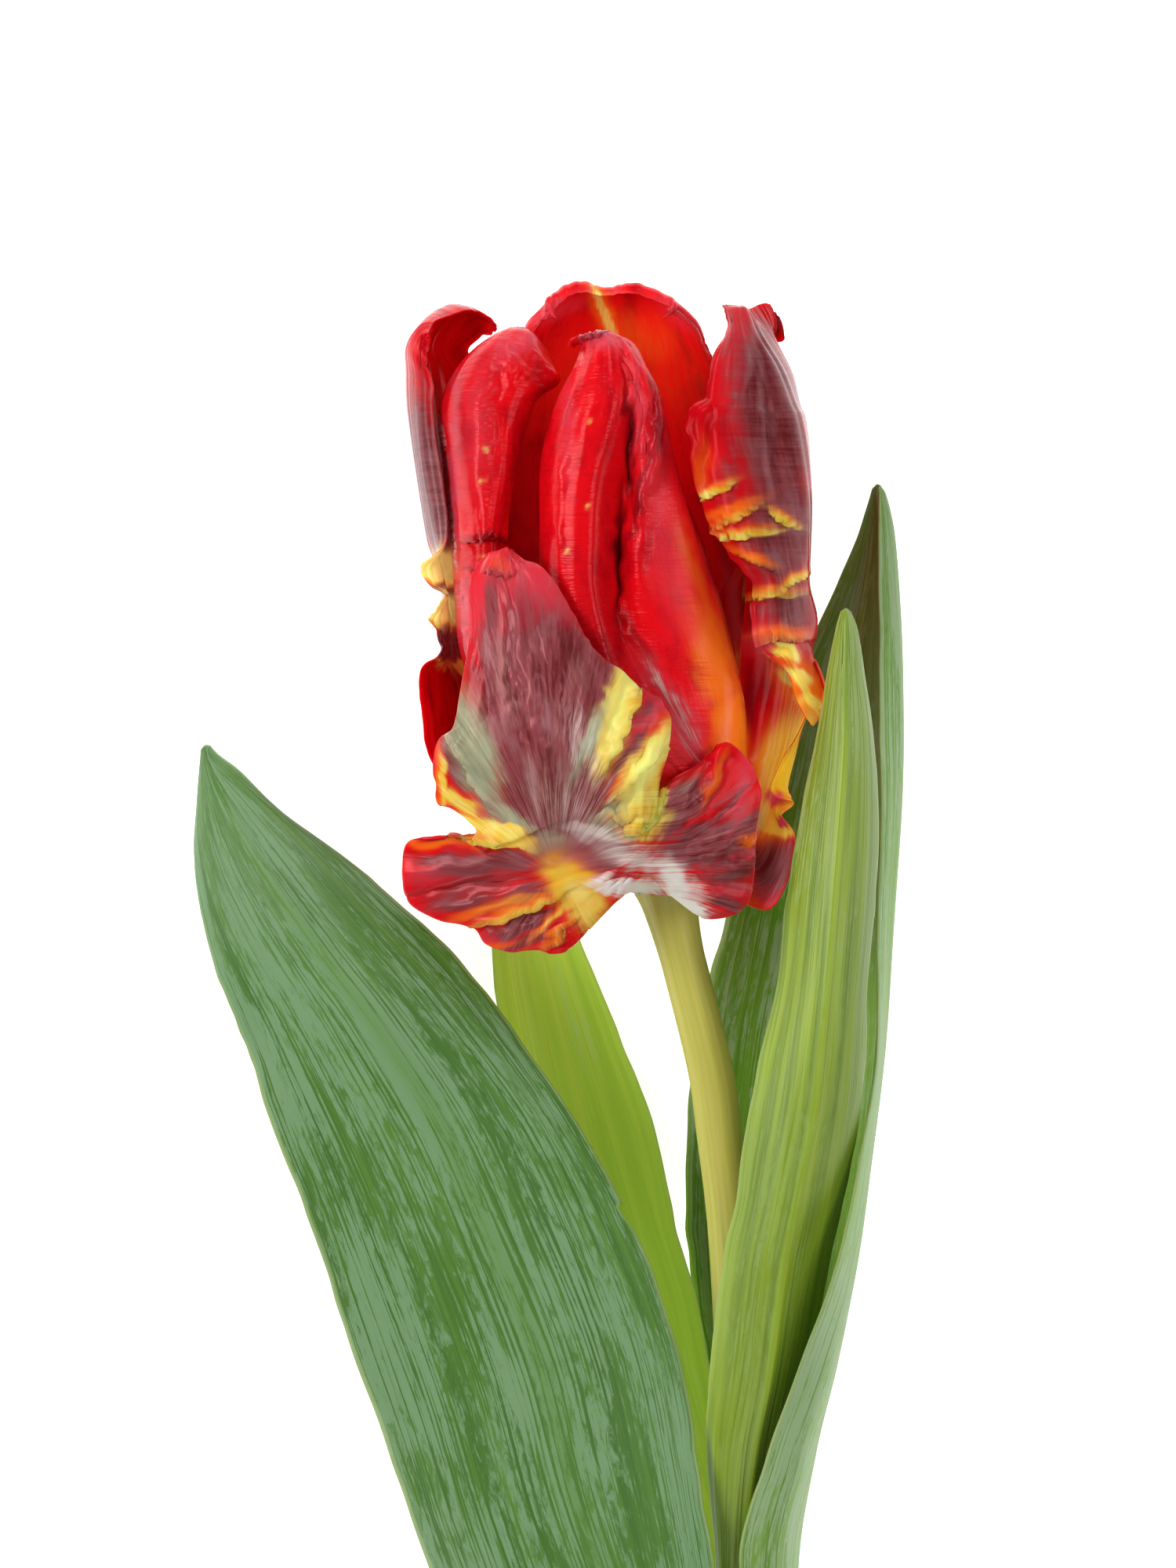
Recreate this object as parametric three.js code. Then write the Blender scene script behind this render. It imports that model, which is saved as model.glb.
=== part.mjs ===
// A cut parrot tulip lying on its back: a curved stem, six ragged tepals round a pistil
// and six stamens, and four leaves that clasp the stem low down.
//
// Points are millimetres from the middle of the bloom's base: x to the flower's right,
// y towards the bloom's tip, z up, away from the surface that the flower lies on.
// Every tepal and leaf is a sheet laid through a net of points. A net's rows run from
// the base to the tip and each row runs from the left margin to the right margin, as
// seen from outside the flower. The sheet is then given its thickness.
import { BufferGeometry, Float32BufferAttribute, Group, Mesh, MeshStandardMaterial, Vector3 } from "three";

// Driving dimensions
const TEPAL_THICKNESS = 0.7;
const LEAF_THICKNESS = 0.7;
const FLOOR = -25.2; // height of the surface under the bloom's middle
const CENTRE = [15.2, 55.9]; // shift that puts the whole flower's middle over the origin
const INNER_RING = 4.9; // radius of the inner three tepals where they join the stem
const OUTER_RING = 6.0; // radius of the outer three tepals where they join the stem
const STEM_SIDES = 16;
const PISTIL_HEIGHT = 17;
const PISTIL_RADIUS = 2.1;
const STAMEN_COUNT = 6;
const STAMEN_HEIGHT = 19;
const STAMEN_RING = 3.2;

// Stem: x, y, z and radius, from the receptacle inside the bloom to the cut end
const STEM = [
  [0, 2.5, 0, 4.0], [0, 0.5, 0, 4.2], [0.5, -2, -0.2, 3.5], [1.6, -6.5, -0.6, 3.0], [2.8, -11, -1.1, 2.9],
  [5.7, -22.7, -2.4, 2.9], [6.9, -31.3, -3.4, 2.9], [8.1, -41, -4.6, 2.9], [8.9, -50.9, -5.7, 3.0],
  [9.8, -68, -7.7, 3.1], [10.5, -86, -9.8, 3.2], [11.2, -105, -12, 3.3], [11.8, -130, -15, 3.4],
  [12.2, -160, -18.4, 3.4], [12.4, -190, -21.8, 3.4],
];

const rad = (degrees) => (degrees * Math.PI) / 180;

// Points at one height y, from pairs of x and z
const row = (y, ...xz) => {
  const out = [];
  for (let i = 0; i < xz.length; i += 2) out.push([xz[i], y, xz[i + 1]]);
  return out;
};

// Points from triples of x, y and z
const pts = (...xyz) => {
  const out = [];
  for (let i = 0; i < xyz.length; i += 3) out.push(xyz.slice(i, i + 3));
  return out;
};

// Points on a circle round (cx, cz), from angle t0 to t1
const arc = (y, r, t0, t1, n, cx = 0, cz = 0) =>
  Array.from({ length: n }, (_, k) => {
    const t = rad(t0 + ((t1 - t0) * k) / (n - 1));
    return [cx + r * Math.cos(t), y, cz + r * Math.sin(t)];
  });

// Points on a circle round the stem, where a leaf clasps it
const sheath = (y, r, t0, t1) => {
  const k = STEM.findIndex((s) => s[1] <= y);
  const [a, b] = [STEM[k - 1], STEM[k]];
  const f = (a[1] - y) / (a[1] - b[1]);
  return arc(y, r, t0, t1, 5, a[0] + (b[0] - a[0]) * f, a[2] + (b[2] - a[2]) * f);
};

const NETS = {
  // The back one of the inner three: a broad hooded tepal whose rim curls forward
  tepal_inner_back: [
    arc(1, INNER_RING, 320, 220, 7),
    row(8, 7.2,-5, 5.6,-7.6, 3,-9.4, -1,-10.2, -5,-9.6, -8,-8, -9.8,-5.6),
    row(18, 8.6,-3, 8,-9, 4,-13.5, -3,-15.5, -9.5,-14.5, -13.8,-11.8, -15.8,-8),
    row(30, 8.2,-2, 9.3,-7.5, 5.2,-13.6, -4.5,-17.4, -14,-16, -19.4,-12, -21,-7.6),
    row(37, 6.8,-1, 9.8,-6.6, 6,-13.4, -5,-17.6, -15.5,-16.2, -21.4,-12, -22.8,-7),
    row(43, 8.8,-2.4, 9.8,-7, 5.6,-13.2, -6,-17, -17,-15.6, -22.4,-11, -23.2,-6.6),
    row(54, 9.2,-2.6, 9.2,-6.2, 4.6,-11.2, -7,-14.6, -18,-13.4, -22.6,-9.4, -23.2,-4.8),
    row(64, 7,-1.6, 7.2,-3.8, 3.4,-7.2, -7.5,-9.4, -17,-8.6, -21,-5.6, -20.4,-1.6),
    pts(5.4,68.6,-.4, 5,70,-2, 1.6,71.6,-4.2, -7.5,72.6,-5.6, -15,71.2,-4.6, -18.8,69.8,-2.4, -18.4,68.6,-.4),
    pts(2.8,72.4,.4, 2.6,73.8,-.8, -1,75.6,-2.4, -7.5,75.6,-3.4, -13,75.4,-2.6, -17,73.4,-1, -16.8,71.8,.4),
    pts(.8,74.2,1.4, .8,75.6,.2, -3.5,77.7,-1, -7.8,77.2,-2, -11.8,77.9,-1, -15.2,75.6,.2, -15,74,1.4),
    pts(-.2,73.4,2.8, .2,74.6,2, -3.6,76.5,.9, -7.8,76.4,.2, -11.6,76.7,.9, -14.4,74.6,2, -14.2,73.2,2.8),
  ],
  // The left one of the inner three, rolled into a tube along its front
  tepal_inner_left: [
    arc(1, INNER_RING, 200, 100, 7),
    row(10, -12,-4, -13.5,0, -13.5,4, -11.5,7.5, -8,9.5, -4,10, -1,9.5),
    row(20, -18,-6, -20.5,0, -21,6, -19,10.5, -15.5,12.5, -12,12.5, -9,11),
    row(30, -22.5,-5, -25,1, -25.5,7, -23.5,11.5, -20.5,13, -18,12, -17,9),
    row(38, -24,-4, -26.2,2, -26.4,8, -24,12.5, -21.8,13.5, -20,11.5, -20.5,8),
    row(46, -24.5,-4, -26.8,2, -26.8,9, -24,13.5, -22,14, -20.2,11, -21,7),
    row(54, -25,-3.6, -27.8,2, -27.6,9, -24.5,13.5, -21,13.5, -19.2,10, -20.5,6),
    row(62, -24,-3, -27.8,1.5, -28.4,8, -25,12.5, -20.5,13, -17.6,11, -17,6),
    pts(-22,67,-1, -26,66.5,3, -26,67,8, -22.5,68,11.4, -18,67,12, -14.2,65.5,9.6, -13.6,65,5.5),
    pts(-20,70,2, -22.6,70,4.5, -22.4,70.4,7.6, -20.3,71,9.4, -17.6,70.4,10, -15.4,68.6,8.6, -14.4,67.6,5.6),
    pts(-19.4,71,3, -20.2,71.4,4.5, -19.6,71.8,6.4, -18.7,72,7.8, -17.4,71.6,8, -16.4,70.9,7.2,
        -15.8,69.8,5.4),
  ],
  // The right one of the inner three, creased down its middle, its tip hooked
  tepal_inner_right: [
    arc(1, INNER_RING, 80, -20, 8),
    row(10, .3,10.2, 2,10.2, 4,9.6, 6,8.4, 7.6,6.6, 8.8,4.4, 9.5,2, 9.6,-.5),
    row(20, -5,8.5, -6.5,11.5, -5,13.8, -2,14, 1,12.4, 4.4,11.6, 7.8,8.5, 10,3),
    row(26, -8,8.5, -10,12, -8.5,15, -5.4,15.4, -2.6,13, 2,13.2, 7.2,10.6, 9.4,5),
    row(31, -10,8, -13,12, -11.5,15.6, -8,16.3, -4.9,13, .6,14, 5.8,12, 8.4,6),
    row(38, -12.5,8, -15.5,12, -13.5,16.5, -9.6,17.6, -6.2,13.2, -2,14.6, 4,12.5, 6.5,7),
    row(46, -13,8, -16,12, -14,17, -9.8,18, -6.2,13.6, -3,15, 2.2,13.5, 4,8),
    row(54, -13,8, -15.9,12, -13.5,17, -8.8,18, -5,14, -2.5,15.6, .8,13, 0,8),
    row(62, -11.5,8, -13.9,12, -11.5,16.5, -7.2,18, -3.8,15.6, -2,16.4, -.8,14.2, -2,10),
    pts(-10.6,67.4,9, -11.6,67,12, -9.8,67.6,15, -7.4,68.2,16.4, -5.4,67.4,15.8, -4,67.2,15.8,
        -3,66.6,14, -4,66.6,10.5),
    pts(-11,69.2,11, -11,69.6,12.4, -9.6,70,14.2, -8,70.4,15, -6.4,70,14.8, -5.2,69.6,14.4,
        -4.4,69.2,13.2, -5,68.6,11),
    pts(-12.4,69.2,12.4, -12,70,13.2, -10.6,70.9,13.8, -9,71.2,14, -7.6,71.2,13.8, -6.6,70.9,13.2,
        -6,70.4,12.2, -6.2,69.8,11),
  ],
  // The right one of the outer three: a scroll with a flared foot, a flange and a twisted tongue
  tepal_outer_right: [
    arc(1, OUTER_RING, 22, -82, 7),
    pts(9,-.8,5, 9.3,2,3, 9,4,0, 9,4.5,-3, 8,5,-6, 4.5,5,-9.8, 1,5,-11.4),
    pts(13,-1.9,6.5, 12,2.5,5, 11.3,6,2.5, 12,8,-1.5, 10.5,8.5,-7, 6,9,-12, 1,9,-14.2),
    pts(15.4,1.8,7, 13.6,5,5.6, 12.7,8.5,3.5, 13,10.5,-1, 11.8,11,-7.5, 7,11.5,-13.2, 1.3,11.5,-16),
    pts(16.2,7,6.6, 14.6,8.5,5.4, 13.6,11,3.5, 13.9,12.5,-1, 12.6,13,-8, 7.6,13.5,-14.2, 1.6,13.5,-17.2),
    pts(14.2,10,6.6, 13.9,11,5, 14,13,3, 14.4,14.5,-1, 13.2,14.5,-8.3, 8,15,-15, 1.8,15,-18),
    pts(15.9,11.6,6.2, 15.2,13,4.4, 15,14.5,2.4, 15,16,-1.5, 13.7,16.5,-8.5, 8.4,16.5,-15.6, 2,16.5,-18.8),
    pts(13.2,13.4,5.6, 15.2,15,4, 15.8,16.5,1.8, 15.7,18,-2, 14.2,18,-9, 9,18,-16.4, 2,18,-19.6),
    row(22, 17.4,3, 17.3,1, 17.1,-1, 16.6,-4, 14.8,-10.5, 9.5,-18, 2.3,-21.4),
    row(27, 18,4, 18.2,2, 18.1,-.5, 17.4,-4.5, 15.6,-11.6, 10.5,-19.4, 2.6,-23.2),
    pts(18.9,29.6,6, 18.5,29.5,3, 18.2,29.5,0, 17.6,30,-4.5, 15.8,30,-12, 11,30,-20.2, 2.8,30,-24),
    pts(20.2,24.2,7, 18.7,29.6,4.6, 18.4,30.6,.6, 17.7,31,-4.5, 15.8,31,-12, 11,31,-20.4, 3,31,-24.2),
    pts(18.5,21.2,7.6, 18.1,29.8,5.8, 18.5,31.6,1.2, 17.8,32,-4.3, 15.9,32,-12, 11,32,-20.6, 3,32,-24.3),
    pts(16.2,25,8.2, 16.9,30.4,7, 18.7,32.6,1.8, 17.9,33,-4, 15.9,33,-12, 11,33,-20.8, 3,33,-24.4),
    pts(14.2,29.6,8.8, 15.8,32,8.6, 18.9,34,2.4, 18,34.5,-4, 15.9,34.5,-12, 11.1,34.5,-21, 3,34.5,-24.6),
    pts(11.3,32,9, 14.2,33.2,10, 18.8,35.6,3.2, 18,36,-4, 15.9,36,-12, 11.2,36,-21.2, 3,36,-24.8),
    row(39.5, 11,9.5, 13.6,11.4, 17.6,6.5, 17.8,-3, 15.9,-12, 11.3,-21.4, 3,-25),
    row(43.5, 7.2,11, 12,12.6, 17.5,7, 17.9,-2.5, 16,-12, 11.5,-21.4, 3.3,-25),
    row(50, 4.3,12.5, 10,13.4, 17.4,7.5, 18,-2, 16.2,-11.5, 12,-20.4, 4,-24.4),
    row(56, 2.6,13, 8,13.6, 16.5,8, 17.9,-2, 16,-11, 12,-18.6, 5,-22.8),
    row(60.4, 2.2,12.6, 7.5,13.2, 15.6,8, 17.4,-2, 15.4,-10, 12,-16, 6,-20),
    row(62.2, 5,11, 8,12.4, 15,7.6, 17,-2, 15.2,-9, 12,-14.4, 7,-17.4),
    row(66.5, 5.9,9, 8,11, 13.4,7, 15.9,-1, 15,-7, 12,-10.4, 8.5,-12),
    row(71, 7.2,6.5, 8.4,8.4, 11,6.4, 13,1, 13.6,-3.4, 12,-6.4, 10.5,-7.4),
    pts(7.4,73.8,4, 8.4,74,5.4, 10,74.2,4.6, 11.4,73,1.4, 13,73,-2, 14,72.2,-4.4, 14.9,70.7,-5.2),
    pts(7.2,74.6,2, 8.2,74.7,3, 9.6,74.8,3, 10.6,74.6,1, 12,75.3,-1.5, 13.1,75.3,-3.2, 14.5,73.4,-4.2),
  ],
  // The left one of the outer three: a flared foot, two frilled lobes and a hooded tip
  tepal_outer_left: [
    arc(1, OUTER_RING, 262, 158, 7),
    row(6, -1.5,-11.6, -5,-11, -8.8,-9, -11.6,-5.6, -13.2,-1.2, -14.4,2.6, -15,5.5),
    row(12, -3,-16.4, -9,-15.8, -14.8,-13, -19,-8.6, -22,-3, -24,1, -25.4,5),
    row(17, -4,-19.6, -11,-18.6, -17.8,-15, -22.4,-9.8, -25.2,-4.6, -27.4,-1, -29.8,1.6),
    row(22.5, -5,-22, -13,-21.2, -20.5,-17, -24.8,-10.2, -26.6,-4.8, -28.4,-.6, -31,1.8),
    pts(-5.5,27,-23.6, -15,27,-22.8, -23,27,-18, -26.4,27.3,-10.6, -27.6,27.5,-4.4, -29,27.8,-.2, -31.5,28,2.4),
    pts(-6,29,-24, -16,29,-23.4, -24,29.3,-18.4, -27.6,29.6,-10.6, -28.5,29.8,-3.5, -28.5,29.8,1, -28.9,29.9,4.8),
    pts(-6,31.5,-24.2, -16.5,31.5,-23.8, -25,31.5,-18.6, -27.9,31.5,-10.4, -28.4,31.5,-2, -28.3,31.5,3.4,
        -27.7,31.5,7.4),
    pts(-6.3,33.4,-24.4, -17,33.4,-24.2, -25.4,33.4,-18.8, -28,33.2,-10.4, -28.1,33,-2, -28,33,4.4,
        -29,33.2,6),
    pts(-6.5,34.6,-24.5, -17,34.6,-24.4, -25.6,34.6,-18.8, -28,34.6,-10.4, -28,34.4,-2, -28.1,34.6,4.8,
        -30.2,35,6.4),
    pts(-6.6,36,-24.6, -17.2,36,-24.6, -25.8,36,-18.8, -28.2,36,-10.4, -28,36,-2, -28,36.2,4.6, -28.6,36.6,7.4),
    pts(-7,38,-24.8, -17.5,38,-24.8, -26,38,-18.8, -28.6,38,-10.4, -28.3,38,-2, -28.1,38,4.2, -27.5,38.2,8),
    pts(-7.3,39.6,-24.9, -17.7,39.6,-24.9, -26.1,39.6,-18.8, -28.9,39.6,-10.4, -28.8,39.6,-2, -28.6,39.6,4.8,
        -30,39.4,6.6),
    pts(-7.5,41.2,-25, -17.9,41.2,-25, -26.4,41.2,-18.8, -29.2,41.2,-10.4, -29.2,41.2,-2, -28.9,41.4,5.4,
        -31,41.6,7.2),
    pts(-7.7,43.2,-25, -18.2,43.2,-25, -26.7,43.2,-18.7, -29.6,43.2,-10.3, -29.7,43.2,-2, -29.2,43.4,5,
        -28.2,43.8,9.6),
    row(46, -8,-25, -18.5,-25, -27,-18.6, -30,-10.2, -30.4,-2, -29.8,5, -27.9,10.4),
    row(54, -10,-24.8, -20,-24.2, -27.8,-17.6, -31.3,-9, -31.9,0, -31,6, -28.9,10.8),
    row(62, -13,-22, -21,-20.6, -28.2,-15, -32.3,-8, -33.1,0, -32,6, -29.8,10),
    pts(-20,66,-15.4, -24.5,66.5,-15.8, -29,67,-12.5, -32.5,67,-7, -33.2,67,-.5, -32.2,66.5,5.6, -30,65.5,8.4),
    pts(-25.4,69,-8, -27.2,70,-10, -30,70.4,-9.5, -32.3,70,-6, -33,69.6,-.5, -32.4,69,4.4, -30.4,67.8,6.4),
    pts(-24.2,71,-4.6, -25.6,72.6,-6.5, -28,74,-6.6, -30.6,73.4,-4.5, -32,71.8,-.2, -31.9,70.8,2.8,
        -30.5,69.6,4.6),
    pts(-22.8,71.4,-1.8, -23.8,73.4,-2.8, -26.4,75,-2.6, -28.6,74.9,-1.2, -30.6,73.2,1.2, -31,71.8,2.8,
        -30.3,70.6,4.2),
    pts(-22.1,71.4,.6, -22,72.6,1.4, -24,73.9,2.4, -26.4,74,3, -28.8,73,3.6, -29.8,71.9,4, -29.8,71.2,4.6),
  ],
  // The front leaf on the right: boat-shaped, its edges turned up
  leaf_right_front: [
    sheath(-105, 4.2, 165, 15),
    sheath(-98, 4.5, 168, 12),
    pts(6.3,-86,-5, 7.5,-86,-3, 10,-86,-3.2, 13,-86,-5, 15.2,-86,-9),
    pts(5.3,-72,0, 7.5,-72,2.2, 11,-72,2, 14.4,-72,-1, 16.8,-72,-5.4),
    pts(5.6,-60.6,3, 9,-60.6,5.4, 13,-60.6,5.2, 16.4,-60.6,2.4, 18.6,-60.6,-1.6),
    pts(6.9,-47.1,5.6, 10.6,-47.1,8.2, 14.8,-47.1,8.4, 18.6,-47.1,5.6, 21,-47.1,1.4),
    pts(8.6,-37.9,7, 12.4,-37.9,9.8, 16.6,-37.9,10.2, 20.4,-37.9,7.6, 22.8,-37.9,3.4),
    pts(11,-26,8, 14.6,-26,11, 18.6,-26,11.8, 22.2,-26,9.4, 24.4,-26,5.8),
    pts(13.6,-12,8.4, 16.6,-12,12, 20,-12,13.4, 23.4,-12,11, 25.4,-12,7.6),
    pts(15.3,0,9.2, 18,0,12.2, 21,0,13.8, 24.4,0,11.2, 26.5,0,7.6),
    pts(17.1,10,9.6, 19.2,10,12, 21.8,10,13.4, 24.8,10,11.2, 26.8,10,7.6),
    pts(18.9,20,9.9, 20.3,20,11.8, 22.4,20,12.9, 24.7,20,11, 26.1,20,8),
    pts(20.2,28,10, 21.2,28,11.2, 22.5,28,11.9, 24,28,10.7, 25,28,8.6),
    pts(21.3,33.4,9.9, 21.9,33.6,10.5, 22.6,33.8,10.9, 23.5,33.6,10.3, 24.1,33.4,9.4),
    pts(22,35.8,9.9, 22.3,36,10.1, 22.6,36.2,10.2, 22.9,36,10, 23.2,35.8,9.7),
  ],
  // The back leaf on the right: its right edge folds forward over the one in front
  leaf_right_back: [
    sheath(-134, 4.2, 285, 400),
    sheath(-121, 5, 277, 405),
    sheath(-104, 5.9, 264, 412),
    pts(9.8,-86,-18, 14.6,-86,-17.4, 17,-86,-11.6, 14.6,-86,-2, 9.4,-86,.6),
    pts(6.5,-72,-18.6, 13.4,-72,-18, 18.8,-72,-10.6, 17.4,-72,2, 12.6,-72,5.6),
    pts(4.9,-60,-19.4, 12.4,-60,-19, 20.9,-60,-11, 21,-60,2, 17,-60,8),
    pts(3,-47.6,-20.4, 12.6,-47.6,-20.4, 22.6,-47.6,-12, 24,-47.6,0, 21,-47.6,9),
    pts(2.6,-34.6,-21.6, 13.8,-34.6,-21.8, 24.4,-34.6,-13, 26,-34.6,-3, 24.4,-34.6,7),
    pts(4,-20,-23.2, 15.5,-20,-23.4, 26,-20,-15, 27.9,-20,-7, 26.4,-20,2.6),
    pts(7.4,-5,-24.6, 18,-5,-24.6, 27,-5,-16.5, 29,-5,-9, 26.9,-5,-1),
    pts(11.5,12,-24.8, 20.5,12,-24.4, 28,12,-16.5, 30.1,12,-9.5, 27.3,12,-3.5),
    pts(15.5,25,-23.4, 22.5,25,-22.6, 28.4,25,-16, 30.3,25,-10.5, 27.4,25,-6.5),
    pts(20.5,36,-20, 25,36,-19.2, 28.4,36,-14.8, 29.9,36,-11, 27.3,36,-8.5),
    pts(24.4,45,-15.8, 26.5,45.4,-15.2, 28.3,45.6,-12.8, 29.3,45.6,-11, 27.4,45.6,-9.4),
    pts(26,50,-12.8, 26.8,50.4,-12.6, 27.6,50.8,-11.8, 28.3,50.8,-11, 27.5,50.6,-10.2),
    pts(26.6,52,-11.6, 26.9,52.3,-11.5, 27.2,52.6,-11.3, 27.6,52.4,-11, 27.4,52.2,-10.6),
  ],
  // The back leaf on the left, which lies along the surface
  leaf_left_back: [
    sheath(-100, 4.2, 184, 290),
    sheath(-92, 4.6, 180, 284),
    pts(3.2,-80,-12, 3,-80,-15, 5.4,-80,-16.4, 8.2,-80,-16.2, 10,-80,-15),
    pts(-3.8,-66,-13.6, -3.2,-66,-16.8, .4,-66,-18.2, 4.4,-66,-17.2, 6.8,-66,-15.2),
    pts(-10.4,-54,-15.4, -8.6,-54,-18.8, -3.6,-54,-20, 1.4,-54,-18.6, 4.4,-54,-16.2),
    pts(-16,-42.7,-17.4, -13,-42.7,-20.8, -7.4,-42.7,-22.2, -2.2,-42.7,-20.6, 1.2,-42.7,-18),
    pts(-19.5,-30,-19.4, -16,-30,-22.8, -11,-30,-24, -5.8,-30,-22.6, -1.6,-30,-20.2),
    pts(-21.4,-18,-21, -18.4,-18,-24, -14,-18,-25, -9.6,-18,-23.9, -6.2,-18,-21.6),
    pts(-22.2,-7,-21.8, -20,-7,-24.2, -16.6,-7,-25, -13.2,-7,-24.2, -10.8,-7,-22.4),
    pts(-21.6,4,-22.2, -20.2,4,-23.9, -18,4,-24.5, -15.8,4,-23.9, -14.4,4,-22.8),
    pts(-20.4,11,-22.8, -19.6,11.2,-23.6, -18.7,11.4,-23.9, -17.7,11.2,-23.6, -17,11,-23),
    pts(-19.6,14.6,-23.2, -19.2,14.8,-23.4, -18.8,15,-23.5, -18.4,14.8,-23.4, -18,14.6,-23.2),
  ],
  // The big front leaf on the left
  leaf_left_front: [
    sheath(-148, 4.2, 240, 80),
    sheath(-138, 5.4, 248, 68),
    pts(-3,-128,-19.4, -1.5,-126,-12.4, 4,-124,-8, 9.5,-122,-6.8, 15,-121,-8.6),
    pts(-14,-119,-20, -9,-114,-12, -1,-110,-5.6, 6,-108,-3, 12.6,-107,-4),
    pts(-23.5,-104,-19.4, -15.8,-98,-11, -6,-93.5,-3.6, 1.8,-91,.2, 7.4,-91.5,2),
    pts(-31.5,-86,-17.6, -22,-81,-9.6, -11.6,-77,-3, -1.5,-74.5,1.2, 4.4,-75,3.6),
    pts(-37,-69,-15.4, -27,-64,-8, -16,-60,-2, -5.6,-57.6,1.4, 2.1,-60,2.6),
    pts(-42.6,-53,-13, -33,-47.6,-6.4, -22.6,-43.4,-1.4, -12,-41.4,1.4, -3.6,-44,2.2),
    pts(-46.8,-40.3,-11, -38.4,-34.6,-5.4, -28.8,-29.6,-1, -19,-27.6,1, -9.9,-31.6,1.2),
    pts(-51.7,-26.5,-9.4, -44.8,-21.4,-4.8, -36.8,-17,-1, -28,-15.4,.4, -19.6,-17.1,.2),
    pts(-54.4,-18.4,-9, -49,-13.6,-5, -42.4,-9.6,-1.8, -34.6,-7.6,-.6, -27.2,-7.7,-1),
    pts(-57.5,-10.4,-9, -53.4,-6,-5.6, -47.8,-2.2,-3, -41.4,0,-1.8, -35.2,-.3,-2),
    pts(-59.8,-2.8,-9.6, -56.8,1,-6.8, -52.2,4.2,-4.6, -47,6.4,-3.4, -42,5.2,-3.4),
    pts(-60.7,4.6,-10.8, -58.8,7.4,-8.6, -55.6,10,-6.6, -52.2,11.4,-5.6, -49.4,10.6,-5.4),
    pts(-60.4,11,-12.2, -59.4,12.8,-10.8, -57.8,14.2,-9.4, -56,15,-8.6, -54.4,15.4,-8.2),
    pts(-60.1,15.6,-13, -59.6,16.4,-12.4, -58.9,17,-11.8, -58.2,17.4,-11.4, -57.4,17.7,-11),
    pts(-59.9,18.4,-13.4, -59.6,18.8,-13.2, -59.3,19,-13, -59,19,-12.8, -58.7,18.9,-12.6),
  ],
};

// The front one of the outer three is short and bent outwards, with an arm on each side.
// Its left margin, its spine and its right margin run from the base to the tip.
const FRONT_LEFT = [
  [-4.4,.3], [-6.8,.6], [-9.1,-.4], [-10.6,-2.3], [-11.4,-3.8], [-12.5,-6.7], [-14.8,-7.5], [-16.2,-6.9],
  [-18.2,-6.9], [-20.2,-7.1], [-22.9,-6.1], [-24.6,-4], [-28.6,-3.2], [-31.3,-1.9], [-32.8,-.4], [-33.3,1.5],
  [-33,6.5], [-29.9,7.3], [-26,6.6], [-23.6,5.7], [-24.8,7.1], [-24.4,8.4], [-27.1,10.7], [-29,11.5],
  [-29.2,14.2], [-29.4,16.5], [-28.6,19.5], [-27,20.7], [-26.5,22.6], [-25.9,26.8], [-25.2,30.6],
  [-24.8,34.5], [-24.8,38.7], [-24,41], [-22.5,42.9],
];
const FRONT_SPINE = [
  [0,0,6], [-1.2,1.6,9.6], [-2.6,3,13], [-3.4,3.8,14.4], [-4,4.4,15.2], [-4.4,4.8,15.8], [-5,5.4,16.4],
  [-6.8,7.2,17.8], [-9,10.2,19.4], [-10.3,12.9,20.4], [-11.8,16.5,21.2], [-13.3,21,21.8], [-15.2,27,22],
  [-17,33,21.4], [-18.9,39,20], [-20.4,43.6,17.2],
];
const FRONT_RIGHT = [
  [2.6,-.5], [3.6,-1.5], [4.7,-3.2], [8.9,-2.5], [11,0], [11.2,5.7], [11.2,9.6], [12,13.4], [11.2,15.7],
  [9.7,18], [7.8,19.8], [6.2,18.8], [4.3,16.7], [.1,14.8], [-.3,10.3], [-2.6,7.9], [-1,10.4], [-.6,14.8], [.3,19.1],
  [.3,22.2], [-1.4,24.9], [-3.1,26], [-4.5,27.5], [-6.4,28.7], [-9.1,30.8], [-10,31.9], [-10.6,32.9],
  [-11.5,34.5], [-12.5,36.4], [-14,39.4], [-16,41.5], [-17.9,42.1], [-19.5,43.5],
];

// Catmull-Rom through a list of numbers, points or rows of points, at t from 0 to its last index
function along(list, t) {
  const last = list.length - 1;
  const i = Math.min(Math.floor(t), last - 1);
  const f = t - i;
  const mix = (a, b, c, d) =>
    Array.isArray(b)
      ? b.map((_, k) => mix(a && a[k], b[k], c[k], d && d[k]))
      : 0.5 * (2 * b + (c - (a ?? 2 * b - c)) * f
        + (2 * (a ?? 2 * b - c) - 5 * b + 4 * c - (d ?? 2 * c - b)) * f * f
        + (3 * b - (a ?? 2 * b - c) - 3 * c + (d ?? 2 * c - b)) * f * f * f);
  return mix(list[i - 1], list[i], list[i + 1], list[i + 2]);
}

// A point at share w of an open list of points, in straight steps
function straight(list, w) {
  const t = w * (list.length - 1);
  const i = Math.min(Math.floor(t), list.length - 2);
  return list[i].map((a, k) => a + (list[i + 1][k] - a) * (t - i));
}

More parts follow.
